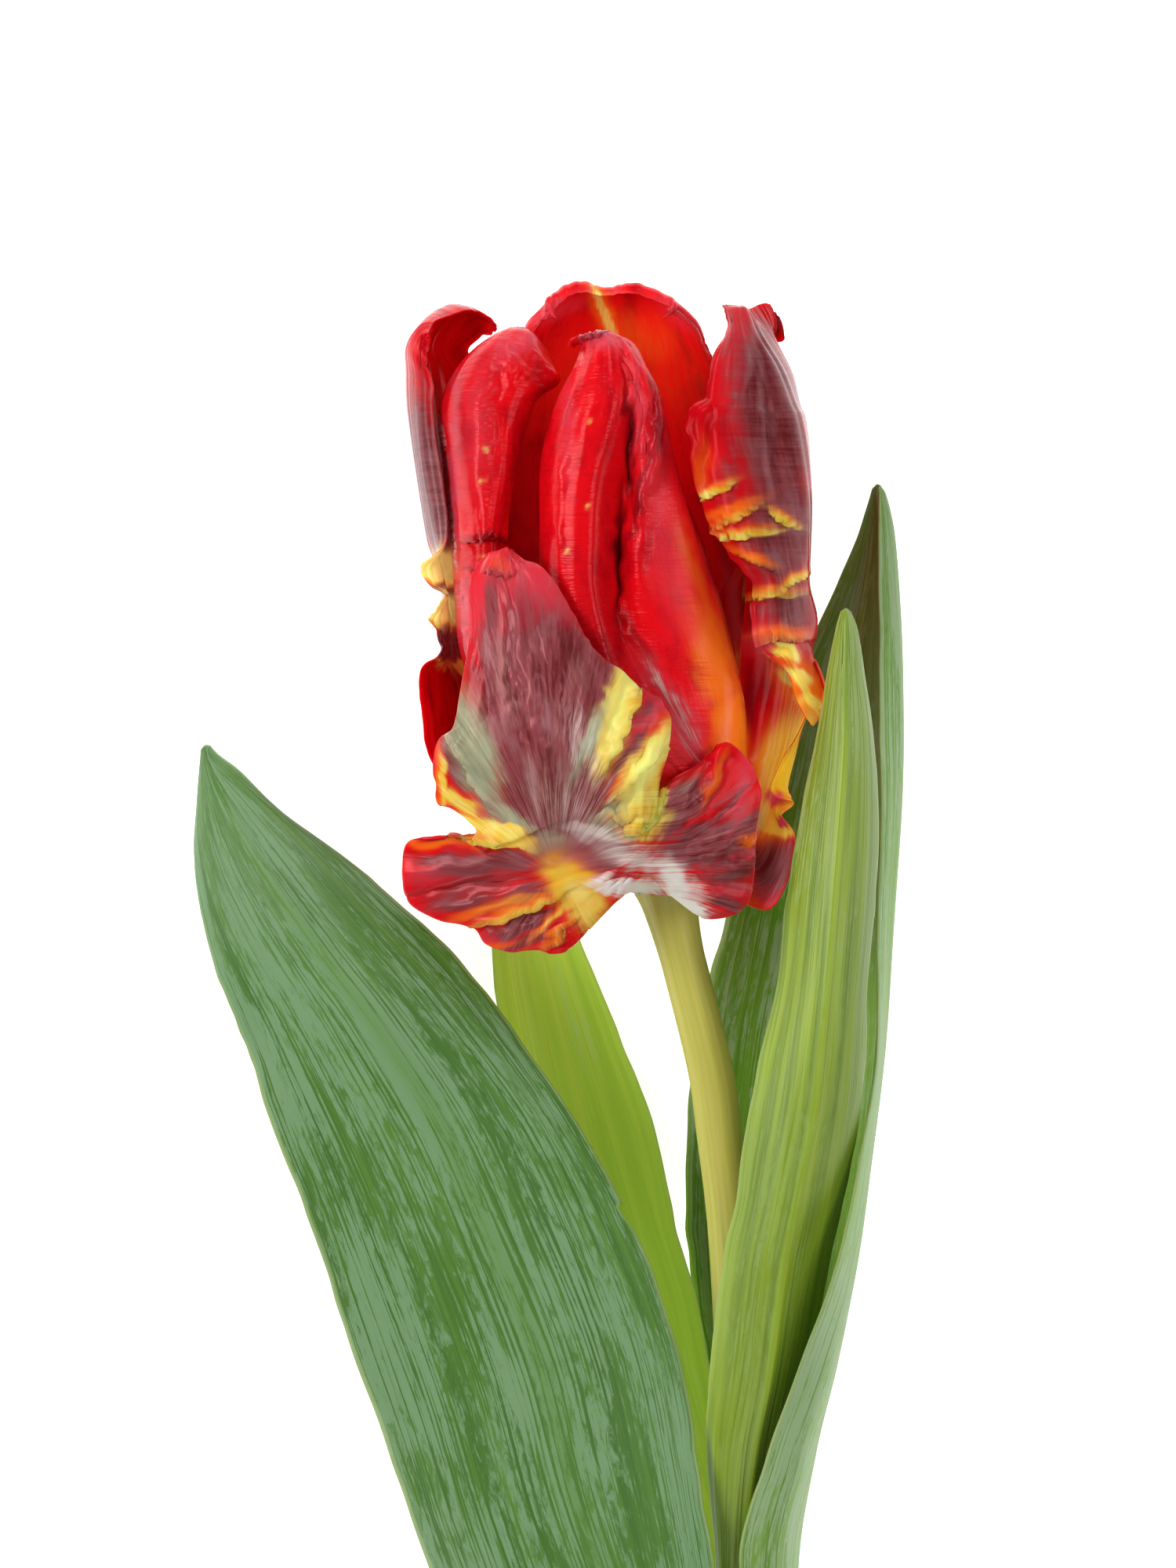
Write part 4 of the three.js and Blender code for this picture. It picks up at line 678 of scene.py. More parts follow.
half_way = patches(np.array([0.5]), np.array([0]), [(0, 0, 1, 1, 0, 1)])
print("half way to its rim a patch has the strength", half_way.round(2))

# %% [markdown]
# ## Node helpers
# A shader is a graph of nodes, and each node could be placed and linked with lines of its own. That makes
# long lists in which the sum can't be seen. A small class adds a node, links its inputs and gives its
# output, so that a graph reads like a formula.

# %% Node helpers
class Graph:
    """Adds nodes to a node tree. Most methods give the output of the node that they add."""

    def __init__(self, tree):
        """Keeps the node tree to work on."""
        self.tree = tree

    def link(self, output, socket):
        """Joins an output to an input socket."""
        self.tree.links.new(output, socket)

    def add(self, kind, inputs=None, **settings):
        """A new node with its settings, each input linked to an output or set to a value."""
        node = self.tree.nodes.new("ShaderNode" + kind)
        for key, value in settings.items():
            setattr(node, key, value)
        for key, value in (inputs or {}).items():
            if isinstance(value, bpy.types.NodeSocket):
                self.link(value, node.inputs[key])
            else:
                node.inputs[key].default_value = value
        return node

    def noise(self, place, detail, rough, distort=0.0):
        """Noise between 0 and 1 at a place. Each of its `detail` finer layers is `rough` times as strong as
        the one before, and `distort` twists it."""
        inputs = {"Vector": place, "Scale": 1.0, "Detail": detail, "Roughness": rough, "Distortion": distort}
        return self.add("TexNoise", inputs).outputs["Fac"]

    def moved(self, place, by):
        """A place moved by the same number along each axis."""
        return self.add("VectorMath", {0: place, 1: by}, operation="ADD").outputs[0]

    def scaled(self, place, by):
        """A place scaled alike along each axis."""
        return self.add("VectorMath", {0: place, "Scale": by}, operation="SCALE").outputs[0]

    def stretch(self, place, x, y, shift=0.0):
        """A place scaled by x and y, and then moved."""
        inputs = {"Vector": place, "Scale": (x, y, 1.0), "Location": (shift, shift, 0)}
        return self.add("Mapping", inputs).outputs[0]

    def plus(self, a, b):
        """a + b"""
        return self.add("Math", {0: a, 1: b}, operation="ADD").outputs[0]

    def minus(self, a, b):
        """a - b"""
        return self.add("Math", {0: a, 1: b}, operation="SUBTRACT").outputs[0]

    def times(self, a, b):
        """a * b"""
        return self.add("Math", {0: a, 1: b}, operation="MULTIPLY").outputs[0]

    def step(self, x, low, high):
        """0 below low, 1 above high, smooth between."""
        ends = {0: x, 1: low, 2: high, 3: 0.0, 4: 1.0}
        return self.add("MapRange", ends, interpolation_type="SMOOTHSTEP").outputs[0]

    def mix(self, factor, a, b):
        """Colour a, or b where the factor is 1."""
        return self.add("Mix", {0: factor, 6: a, 7: b}, data_type="RGBA").outputs[2]

    def value(self, name):
        """A number kept on the mesh."""
        return self.add("Attribute", attribute_name=name).outputs["Fac"]


def node_group(name, inputs, outputs):
    """An empty shader group with the named sockets, its input and output nodes and its graph. An input is a
    name, a kind and a value for when nothing is linked to it."""
    group = bpy.data.node_groups.new(name, "ShaderNodeTree")
    for key, kind, default in inputs:
        socket = group.interface.new_socket(name=key, in_out="INPUT", socket_type="NodeSocket" + kind)
        if default is not None:
            socket.default_value = default
    for key, kind in outputs:
        group.interface.new_socket(name=key, in_out="OUTPUT", socket_type="NodeSocket" + kind)
    return group, group.nodes.new("NodeGroupInput"), group.nodes.new("NodeGroupOutput"), Graph(group)


print("a graph can add:", [key for key in vars(Graph) if not key.startswith("_")])

# %% [markdown]
# ## Streaks
# Veins run along a tepal and tint it in streaks. A noise texture that is stretched along the sheet gives
# them, read from the "flow" coordinates, which are millimetres across and along the sheet. One group
# makes the streaks and fine cross wrinkles for every tepal, so each material only sets how wide they are.

# %% Streak group
streaks, given, result, g = node_group(
    "petal_streaks",
    [("Flow", "Vector", None), ("Streaks per mm", "Float", 0.5), ("Wrinkles per mm", "Float", 1.4),
     ("Shift", "Float", 0.0)],
    [("Broad", "Float"), ("Fine", "Float"), ("Wrinkle", "Float"), ("Blotch", "Float")],
)
moved = g.moved(given.outputs["Flow"], given.outputs["Shift"])
wide = g.scaled(moved, given.outputs["Streaks per mm"])
tight = g.scaled(moved, given.outputs["Wrinkles per mm"])
# Bands, fine streaks in them, pleats that run across, and blotches
g.link(g.noise(g.stretch(wide, 1.0, 0.13), 5.0, 0.6, 0.35), result.inputs["Broad"])
g.link(g.noise(g.stretch(wide, 5.0, 0.34, 3.7), 5.0, 0.65), result.inputs["Fine"])
g.link(g.noise(g.stretch(tight, 0.09, 1.0, 8.1), 4.0, 0.6), result.inputs["Wrinkle"])
g.link(g.noise(g.stretch(moved, 0.34, 0.14, 1.3), 4.0, 0.6), result.inputs["Blotch"])
print("group", streaks.name, len(streaks.nodes), "nodes")

# %% [markdown]
# ## Petal paint
# The colours lie over one another as washes, each laid on with a mask of its own. Red comes first, with
# crimson streaks and a painted shade that darkens it in creases, grooves and gaps and under folds. Then
# comes a pink that is partly the tepal's own tint and partly a painted highlight on rims and ridges, then
# the dusky purple with its slate bloom, which also stands in for a painted silvery sheen. Over them go
# orange, gold, pale green, the white of fine hairs, which is partly a painted sheen, and last bright
# yellow specks. Each mask is broken up by the streaks before it is used, so a patch never shows the round
# shape that placed it.
# Thin frills seem to glow, because light comes through them from behind. A solid blade lets hardly any of
# it through, so the group also gives a painted glow in the petal's own colour wherever the sheet is marked
# "lit": on thin frills, and on parts that lie deep in shade, such as the back tepal's hood and the inside of
# the cup.

# %% Paint group
SCARLET, CRIMSON, WINE = (0.80, 0.003, 0.008, 1), (0.46, 0.001, 0.007, 1), (0.13, 0.001, 0.004, 1)
ORANGE, GOLD, LEMON = (0.85, 0.15, 0.008, 1), (0.76, 0.42, 0.01, 1), (0.82, 0.79, 0.22, 1)
MAROON, PLUM, MAUVE = (0.12, 0.010, 0.014, 1), (0.26, 0.06, 0.068, 1), (0.42, 0.18, 0.19, 1)
ROSE_AND_HIGHLIGHT, SLATE, PEARL = (0.66, 0.07, 0.11, 1), (0.30, 0.17, 0.18, 1), (0.80, 0.74, 0.68, 1)
SAGE, MINT = (0.23, 0.25, 0.15, 1), (0.46, 0.47, 0.31, 1)
NO_GLOW = (0, 0, 0, 1)

paint, given, result, g = node_group(
    "petal_paint",
    [(key.capitalize(), "Float", 0.0) for key in (*PAINTS, "broad", "fine", "wrinkle", "blotch")],
    [("Color", "Color"), ("Glow", "Color"), ("Roughness", "Float"), ("Grain", "Float")],
)
take = given.outputs


def broken(mask, streak, depth, low, high):
    """A mask whose rim is moved in and out by the streaks: mask + (streak - 0.5) * depth, which is then 0
    below `low` and 1 above `high`. Where the mask is 0, the streaks don't reach it."""
    moved = g.times(g.times(g.minus(streak, 0.5), depth), g.step(mask, 0.02, 0.3))
    return g.step(g.plus(mask, moved), low, high)


def across(lengthwise, share):
    """Lengthwise streaks, or up to `share` of crosswise wrinkles where the sheet is marked "cross"."""
    part = g.times(take["Cross"], share)
    kept = g.times(lengthwise, g.minus(1.0, part))
    return g.plus(kept, g.times(take["Wrinkle"], part))


def calmed(streak):
    """Streaks that fade out to an even 0.5 where the sheet is marked "calm"."""
    return g.plus(g.times(g.minus(streak, 0.5), g.minus(1.0, take["Calm"])), 0.5)


grain = calmed(across(take["Fine"], 1.0))
bands = g.plus(g.times(take["Broad"], 0.7), g.times(take["Blotch"], 0.3))
both = g.plus(g.times(calmed(across(bands, 0.3)), 0.6), g.times(calmed(across(take["Fine"], 0.45)), 0.4))
tone = g.step(g.minus(both, g.times(take["Cross"], 0.02)), 0.37, 0.67)

red = g.mix(g.step(take["Blotch"], 0.42, 0.75), SCARLET, CRIMSON)
red = g.mix(g.times(g.step(grain, 0.46, 0.72), 0.35), red, CRIMSON)
# Painted shade: where the sheet is marked shade, the red turns wine-dark in creases, gaps and under folds
red = g.mix(take["Shade"], red, WINE)
# Pink: partly the tepal's own tint, partly a painted highlight and sheen on rims, ridges and fold edges
rose = g.mix(g.times(take["Rose"], g.plus(0.2, g.times(both, 1.2))), red, ROSE_AND_HIGHLIGHT)

dusky = g.mix(g.step(tone, 0.5, 1.0), g.mix(g.step(tone, 0.0, 0.5), MAROON, PLUM), MAUVE)
# Slate blotches: a random greyer tone, which also stands in for a painted silvery sheen
dusky = g.mix(g.times(g.step(take["Blotch"], 0.5, 0.72), 0.4), dusky, SLATE)
# The same painted shade darkens the purple towards maroon
dusky = g.mix(g.times(take["Shade"], 0.6), dusky, MAROON)
dusk = g.mix(broken(take["Dusk"], both, 2.0, 0.05, 0.8), rose, dusky)

warm = g.mix(broken(take["Warm"], both, 1.0, 0.0, 1.0), dusk, ORANGE)
ripe = g.minus(1.0, g.times(take["Calm"], 0.8))
gold = g.mix(broken(take["Gold"], both, 1.4, 0.02, 0.75), warm, g.mix(g.times(tone, ripe), GOLD, LEMON))
mint = g.mix(broken(take["Mint"], both, 1.2, 0.02, 1.0), gold, g.mix(tone, SAGE, MINT))

# The white of fine hairs, which is partly a painted sheen and silvery highlight
hairs = g.plus(g.times(grain, 0.7), g.times(take["Broad"], 0.3))
silk = g.mix(broken(g.times(take["Silk"], 0.6), hairs, 2.6, 0.05, 1.1), mint, PEARL)
speck = g.mix(take["Speck"], silk, LEMON)

g.link(speck, result.inputs["Color"])
g.link(g.mix(take["Lit"], NO_GLOW, speck), result.inputs["Glow"])
g.link(grain, result.inputs["Grain"])
g.link(g.plus(g.plus(0.09, g.times(grain, 0.12)), g.times(take["Silk"], 0.3)), result.inputs["Roughness"])
print("group", paint.name, len(paint.nodes), "nodes")

# %% [markdown]
# ## Petal material
# A petal is a thin wet tissue under a waxy skin: light enters, turns red and comes out a little way off.
# Subsurface scattering does that. The skin is pleated across the sheet so finely that only its gleam
# shows it, which is work for a bump, since pleats of a tenth of a millimetre would need millions of faces.

# %% Petal material
PETAL_GLOW = 0.5  # strength of the glow where a sheet is marked "lit"
RED_GLEAM = (1.0, 0.4, 0.42, 1)  # a petal's gleam is red, because its pigment lies right under the skin
PETAL_TISSUE = (1.0, 0.18, 0.12)  # shares that say how far red, green and blue light go under the skin


def new_material(name):
    """An empty material, its shader and its graph."""
    material = bpy.data.materials.new(name)
    material.use_nodes = True
    tree = material.node_tree
    return material, tree.nodes["Principled BSDF"], Graph(tree)


def tissue(shader, weight, radius, scale, gloss):
    """Sets how light goes through a plant's tissue, `scale` in mm, and how much its skin mirrors."""
    shader.inputs["Subsurface Weight"].default_value = weight
    shader.inputs["Subsurface Radius"].default_value = radius
    shader.inputs["Subsurface Scale"].default_value = scale * MM
    shader.inputs["Specular IOR Level"].default_value = gloss


def petal_material(name, facts):
    """Petal finish. The facts give the streaks and the wrinkles in a mm, the wrinkles' share in the bump,
    the bump's strength and the gloss. The seed moves the pattern."""
    material, shader, at = new_material(name)
    bands = at.add("Group", node_tree=streaks)
    at.link(at.add("UVMap", uv_map="flow").outputs[0], bands.inputs["Flow"])
    bands.inputs["Streaks per mm"].default_value = facts["streaks"]
    bands.inputs["Wrinkles per mm"].default_value = facts["wrinkles"]
    bands.inputs["Shift"].default_value = facts["seed"] * 3.1
    colour = at.add("Group", node_tree=paint)
    for key in PAINTS:
        at.link(at.value(key), colour.inputs[key.capitalize()])
    for key in ("Broad", "Fine", "Wrinkle", "Blotch"):
        at.link(bands.outputs[key], colour.inputs[key])
    pleats = at.times(bands.outputs["Wrinkle"], facts["wrinkle"])
    height = at.plus(pleats, at.times(colour.outputs["Grain"], 0.6))
    relief = at.add("Bump", {"Height": height, "Strength": facts.get("bump", 0.5), "Distance": 0.2 * MM})
    at.link(colour.outputs["Color"], shader.inputs["Base Color"])
    at.link(colour.outputs["Roughness"], shader.inputs["Roughness"])
    at.link(relief.outputs[0], shader.inputs["Normal"])
    at.link(colour.outputs["Glow"], shader.inputs["Emission Color"])
    shader.inputs["Emission Strength"].default_value = PETAL_GLOW
    shader.inputs["Specular Tint"].default_value = RED_GLEAM
    tissue(shader, 0.55, PETAL_TISSUE, 1.5, facts.get("gloss", 0.3))
    return material


print("a petal finish reads", len(PAINTS), "masks from its mesh")

# %% [markdown]
# ## Tepals
# One table says how each tepal is finished. Yellow at the base of the inner face and a dusky flame up the
# outer face are on every tulip of this kind, so a rule adds them everywhere. The keys of the table:
#
# - grid: points across and along. Streaks, wrinkles: how many in a mm. Wrinkle, bump, gloss: how strong
# - seed: of all random shapes. Ribs, bend: mm by which ribs rise and outlines of patches wander
# - left, right: mm by which the margins are ruffled, at even steps from base to tip
# - hills, tears: x, y, half length, half width, turn and height. A tear's seventh number says how yellow
#   its lip is
# - flame: strength of the dusky flame. Glow: how far up the inner face its yellow reaches. Deep: least shade
# - plain: patches that keep warm, gold and specks away. Faced: these lie only where the sheet looks up
# - all others: patches of one paint each. Shade patches are painted shade in creases, grooves and gaps and
#   under folds, and on the front tepal's arms also a darker crimson. Pink and white patches are partly
#   painted highlight and sheen on rims and ridges. Cross and calm turn the streaks crosswise or even them
#   out, and lit marks where a painted glow lifts the sheet, both where light comes through it and where it
#   lies in shade

# %% Table of the inner tepals
TEPALS = {
    "tepal_inner_back": dict(
        grid=(101, 201), streaks=0.5, wrinkles=1.0, wrinkle=0.5, seed=11, flame=0.15, ribs=.12, bend=.12,
        left=(0, 0, .2, .3, .3, .5, .7), right=(0, 0, .2, .3, .3, .5, .7),
        hills=[(-8, 75, 4, 1.0, -67, -.6), (-1.5, 66, 9, 1.2, 78, -.4)],
        warm=[(-7.8, 74, 4.6, 1.4, -67, .9), (-3.5, 71, 6, 4, -20, .45), (-5, 66, 13, 8, 0, .25)],
        gold=[(-7.8, 74, 4.0, .5, -67, 1.1)],
        # Pink along the hood's rim and down a fold's edge is a painted highlight, and the shade beside that
        # fold is painted shade
        rose=[(-14, 74.6, 5, 1, 22, .5), (1.6, 74.2, 4, 1.2, -38, .4), (8.6, 35, 7, .8, -84, 1.2)],
        shade=[(10.4, 34, 5, .9, -84, .9)],
        # lit: a painted glow that lifts the hood, which lies in shade
        lit=[(-6, 64, 16, 16, 0, .35), (-14, 68, 5, 8, 0, .4)]),
    "tepal_inner_left": dict(
        grid=(111, 221), streaks=0.5, wrinkles=1.9, wrinkle=1.1, seed=21, flame=0, ribs=.05, deep=.1,
        gloss=.35, bump=.5,
        left=(0, 0, .2, .3, .3, .4, .5), right=(0, 0, .3, .5, .5, .4, .5),
        tears=[(-22, 45.4, 5, 4, 3, 1.7, 0)],
        hills=[(-16.5, 66, 4, 1.2, -50, -.8), (-19.8, 66, 4, 1.0, -80, .4), (-23.6, 60, 9, 1.2, 84, .35),
               (-21.4, 60, 8, .9, 88, -.3), (-25, 40, 2, .5, -10, .6), (-25.2, 33.8, 2, .5, -5, .6),
               (-25.8, 44.4, 1.4, .5, -24, .5), (-26, 37.4, 1.6, .5, 14, .6)],
        # Pink down the left rim and the ridge, and the white on the rim, are partly a painted highlight and
        # sheen
        rose=[(-19, 69.4, 4, 1.6, 30, .8), (-26.8, 50, .8, 16, 0, .8), (-25.6, 36, 1.6, 4, 0, .9),
              (-24, 60, 1.6, 9, 0, .35)],
        # shade: painted shade in the folds at the top and in the notches of the rim
        shade=[(-15.5, 62, 1.6, 7, 16, .45), (-18.6, 50, 1.4, 10, 0, .45), (-26, 58, 1.2, 10, 8, .3),
               (-24.4, 40.8, 1.8, .3, -10, .9), (-24.6, 34.6, 1.6, .3, -5, .9)],
        silk=[(-28.4, 57, .4, 8, 4, .5), (-27.2, 46, .4, 6, 4, .5), (-26.0, 38, .8, 4, 0, .25)],
        speck=[(-23.3, 56.3, .28, .26, 0, .6), (-23.1, 52.2, .34, .3, 30, .6),
               (-23.3, 42.4, .3, .3, 0, .6)],
        cross=[(-22, 50, 14, 40, 0, 1)]),
    "tepal_inner_right": dict(
        grid=(121, 241), streaks=0.55, wrinkles=1.9, wrinkle=1.1, seed=31, flame=0, ribs=.06, gloss=.35,
        bump=.5,
        left=(0, 0, .3, .4, .4, .4, .5), right=(0, 0, .2, .3, .3, .3, .5),
        tears=[(-9, 70.8, 3, 1.4, 12, .9, 0)],
        hills=[(-4.0, 60, 7, .9, 94, 1.0), (-1.4, 58, 7, 1.0, 84, 1.1), (-3.2, 50, 5, 1.0, 62, .9),
               (-4.8, 56, 9, .6, 94, -1.0), (-6.1, 42, 9, .55, 90, -1.1), (-2.4, 58, 6, .5, 88, -.5),
               (-10.5, 56, 12, 1.4, 86, .3), (-3.6, 44, 9, 1.4, 88, .9), (-13.6, 53, 2.6, 1, 80, .6),
               (-13.8, 46, 2.6, 1, 90, .6), (-12.6, 62, 3, 1, 70, .5), (-3, 30, 8, .8, -62, .5),
               (-1, 26, 8, .7, -60, -.4)],
        dusk=[(-.2, 26, 8, 1.6, -60, .3)],
        # Pink and white streaks on the right part and down the left lobe are partly a painted sheen and
        # highlight
        rose=[(-.8, 46, 1.8, 12, 8, .35), (-7.4, 70, 3.4, 1.4, -10, .9), (-12.6, 60, .9, 9, 0, .5),
              (1, 23, 7, 1.6, -58, .8), (-3.8, 62, .8, 7, 4, .6)],
        warm=[(3.4, 40, 8, 1.4, -70, .45), (6.2, 29, 9, 2.8, -74, .9), (8.8, 18, 9, 3.0, -80, 1.35)],
        lit=[(7.6, 22, 10, 3, -78, .6)],
        silk=[(.6, 24.5, 7, .9, -58, .6), (2.6, 19, 4, .6, -57, .5)],
        # shade: painted shade along the crease and beside the folds
        shade=[(-8, 32, 4, 10, 10, .35), (-1.4, 60, 7, .7, 98, .8), (-3.4, 50, 7, .6, 76, .8),
               (-4.9, 57, .7, 9, 3, .9), (-6.2, 42, .7, 9, 0, .9), (-4, 33, 6, .8, -64, .6),
               (.5, 56, 1, 8, 12, .3)],
        speck=[(-10, 48.9, .28, .26, 0, .7), (-12.2, 43.4, .32, .26, 20, .7), (-9.4, 59.8, .3, .3, 0, .5)],
        cross=[(-12, 50, 6, 40, 0, 1)]),
}
print({name: facts["grid"] for name, facts in TEPALS.items()})

# %% [markdown]
# ## Table of the outer tepals
# The outer tepals carry the dusky flame, the frills and most of the other colours, so their lists of
# patches are longer. Their margins are ruffled up to twice as high as those of the inner ones.

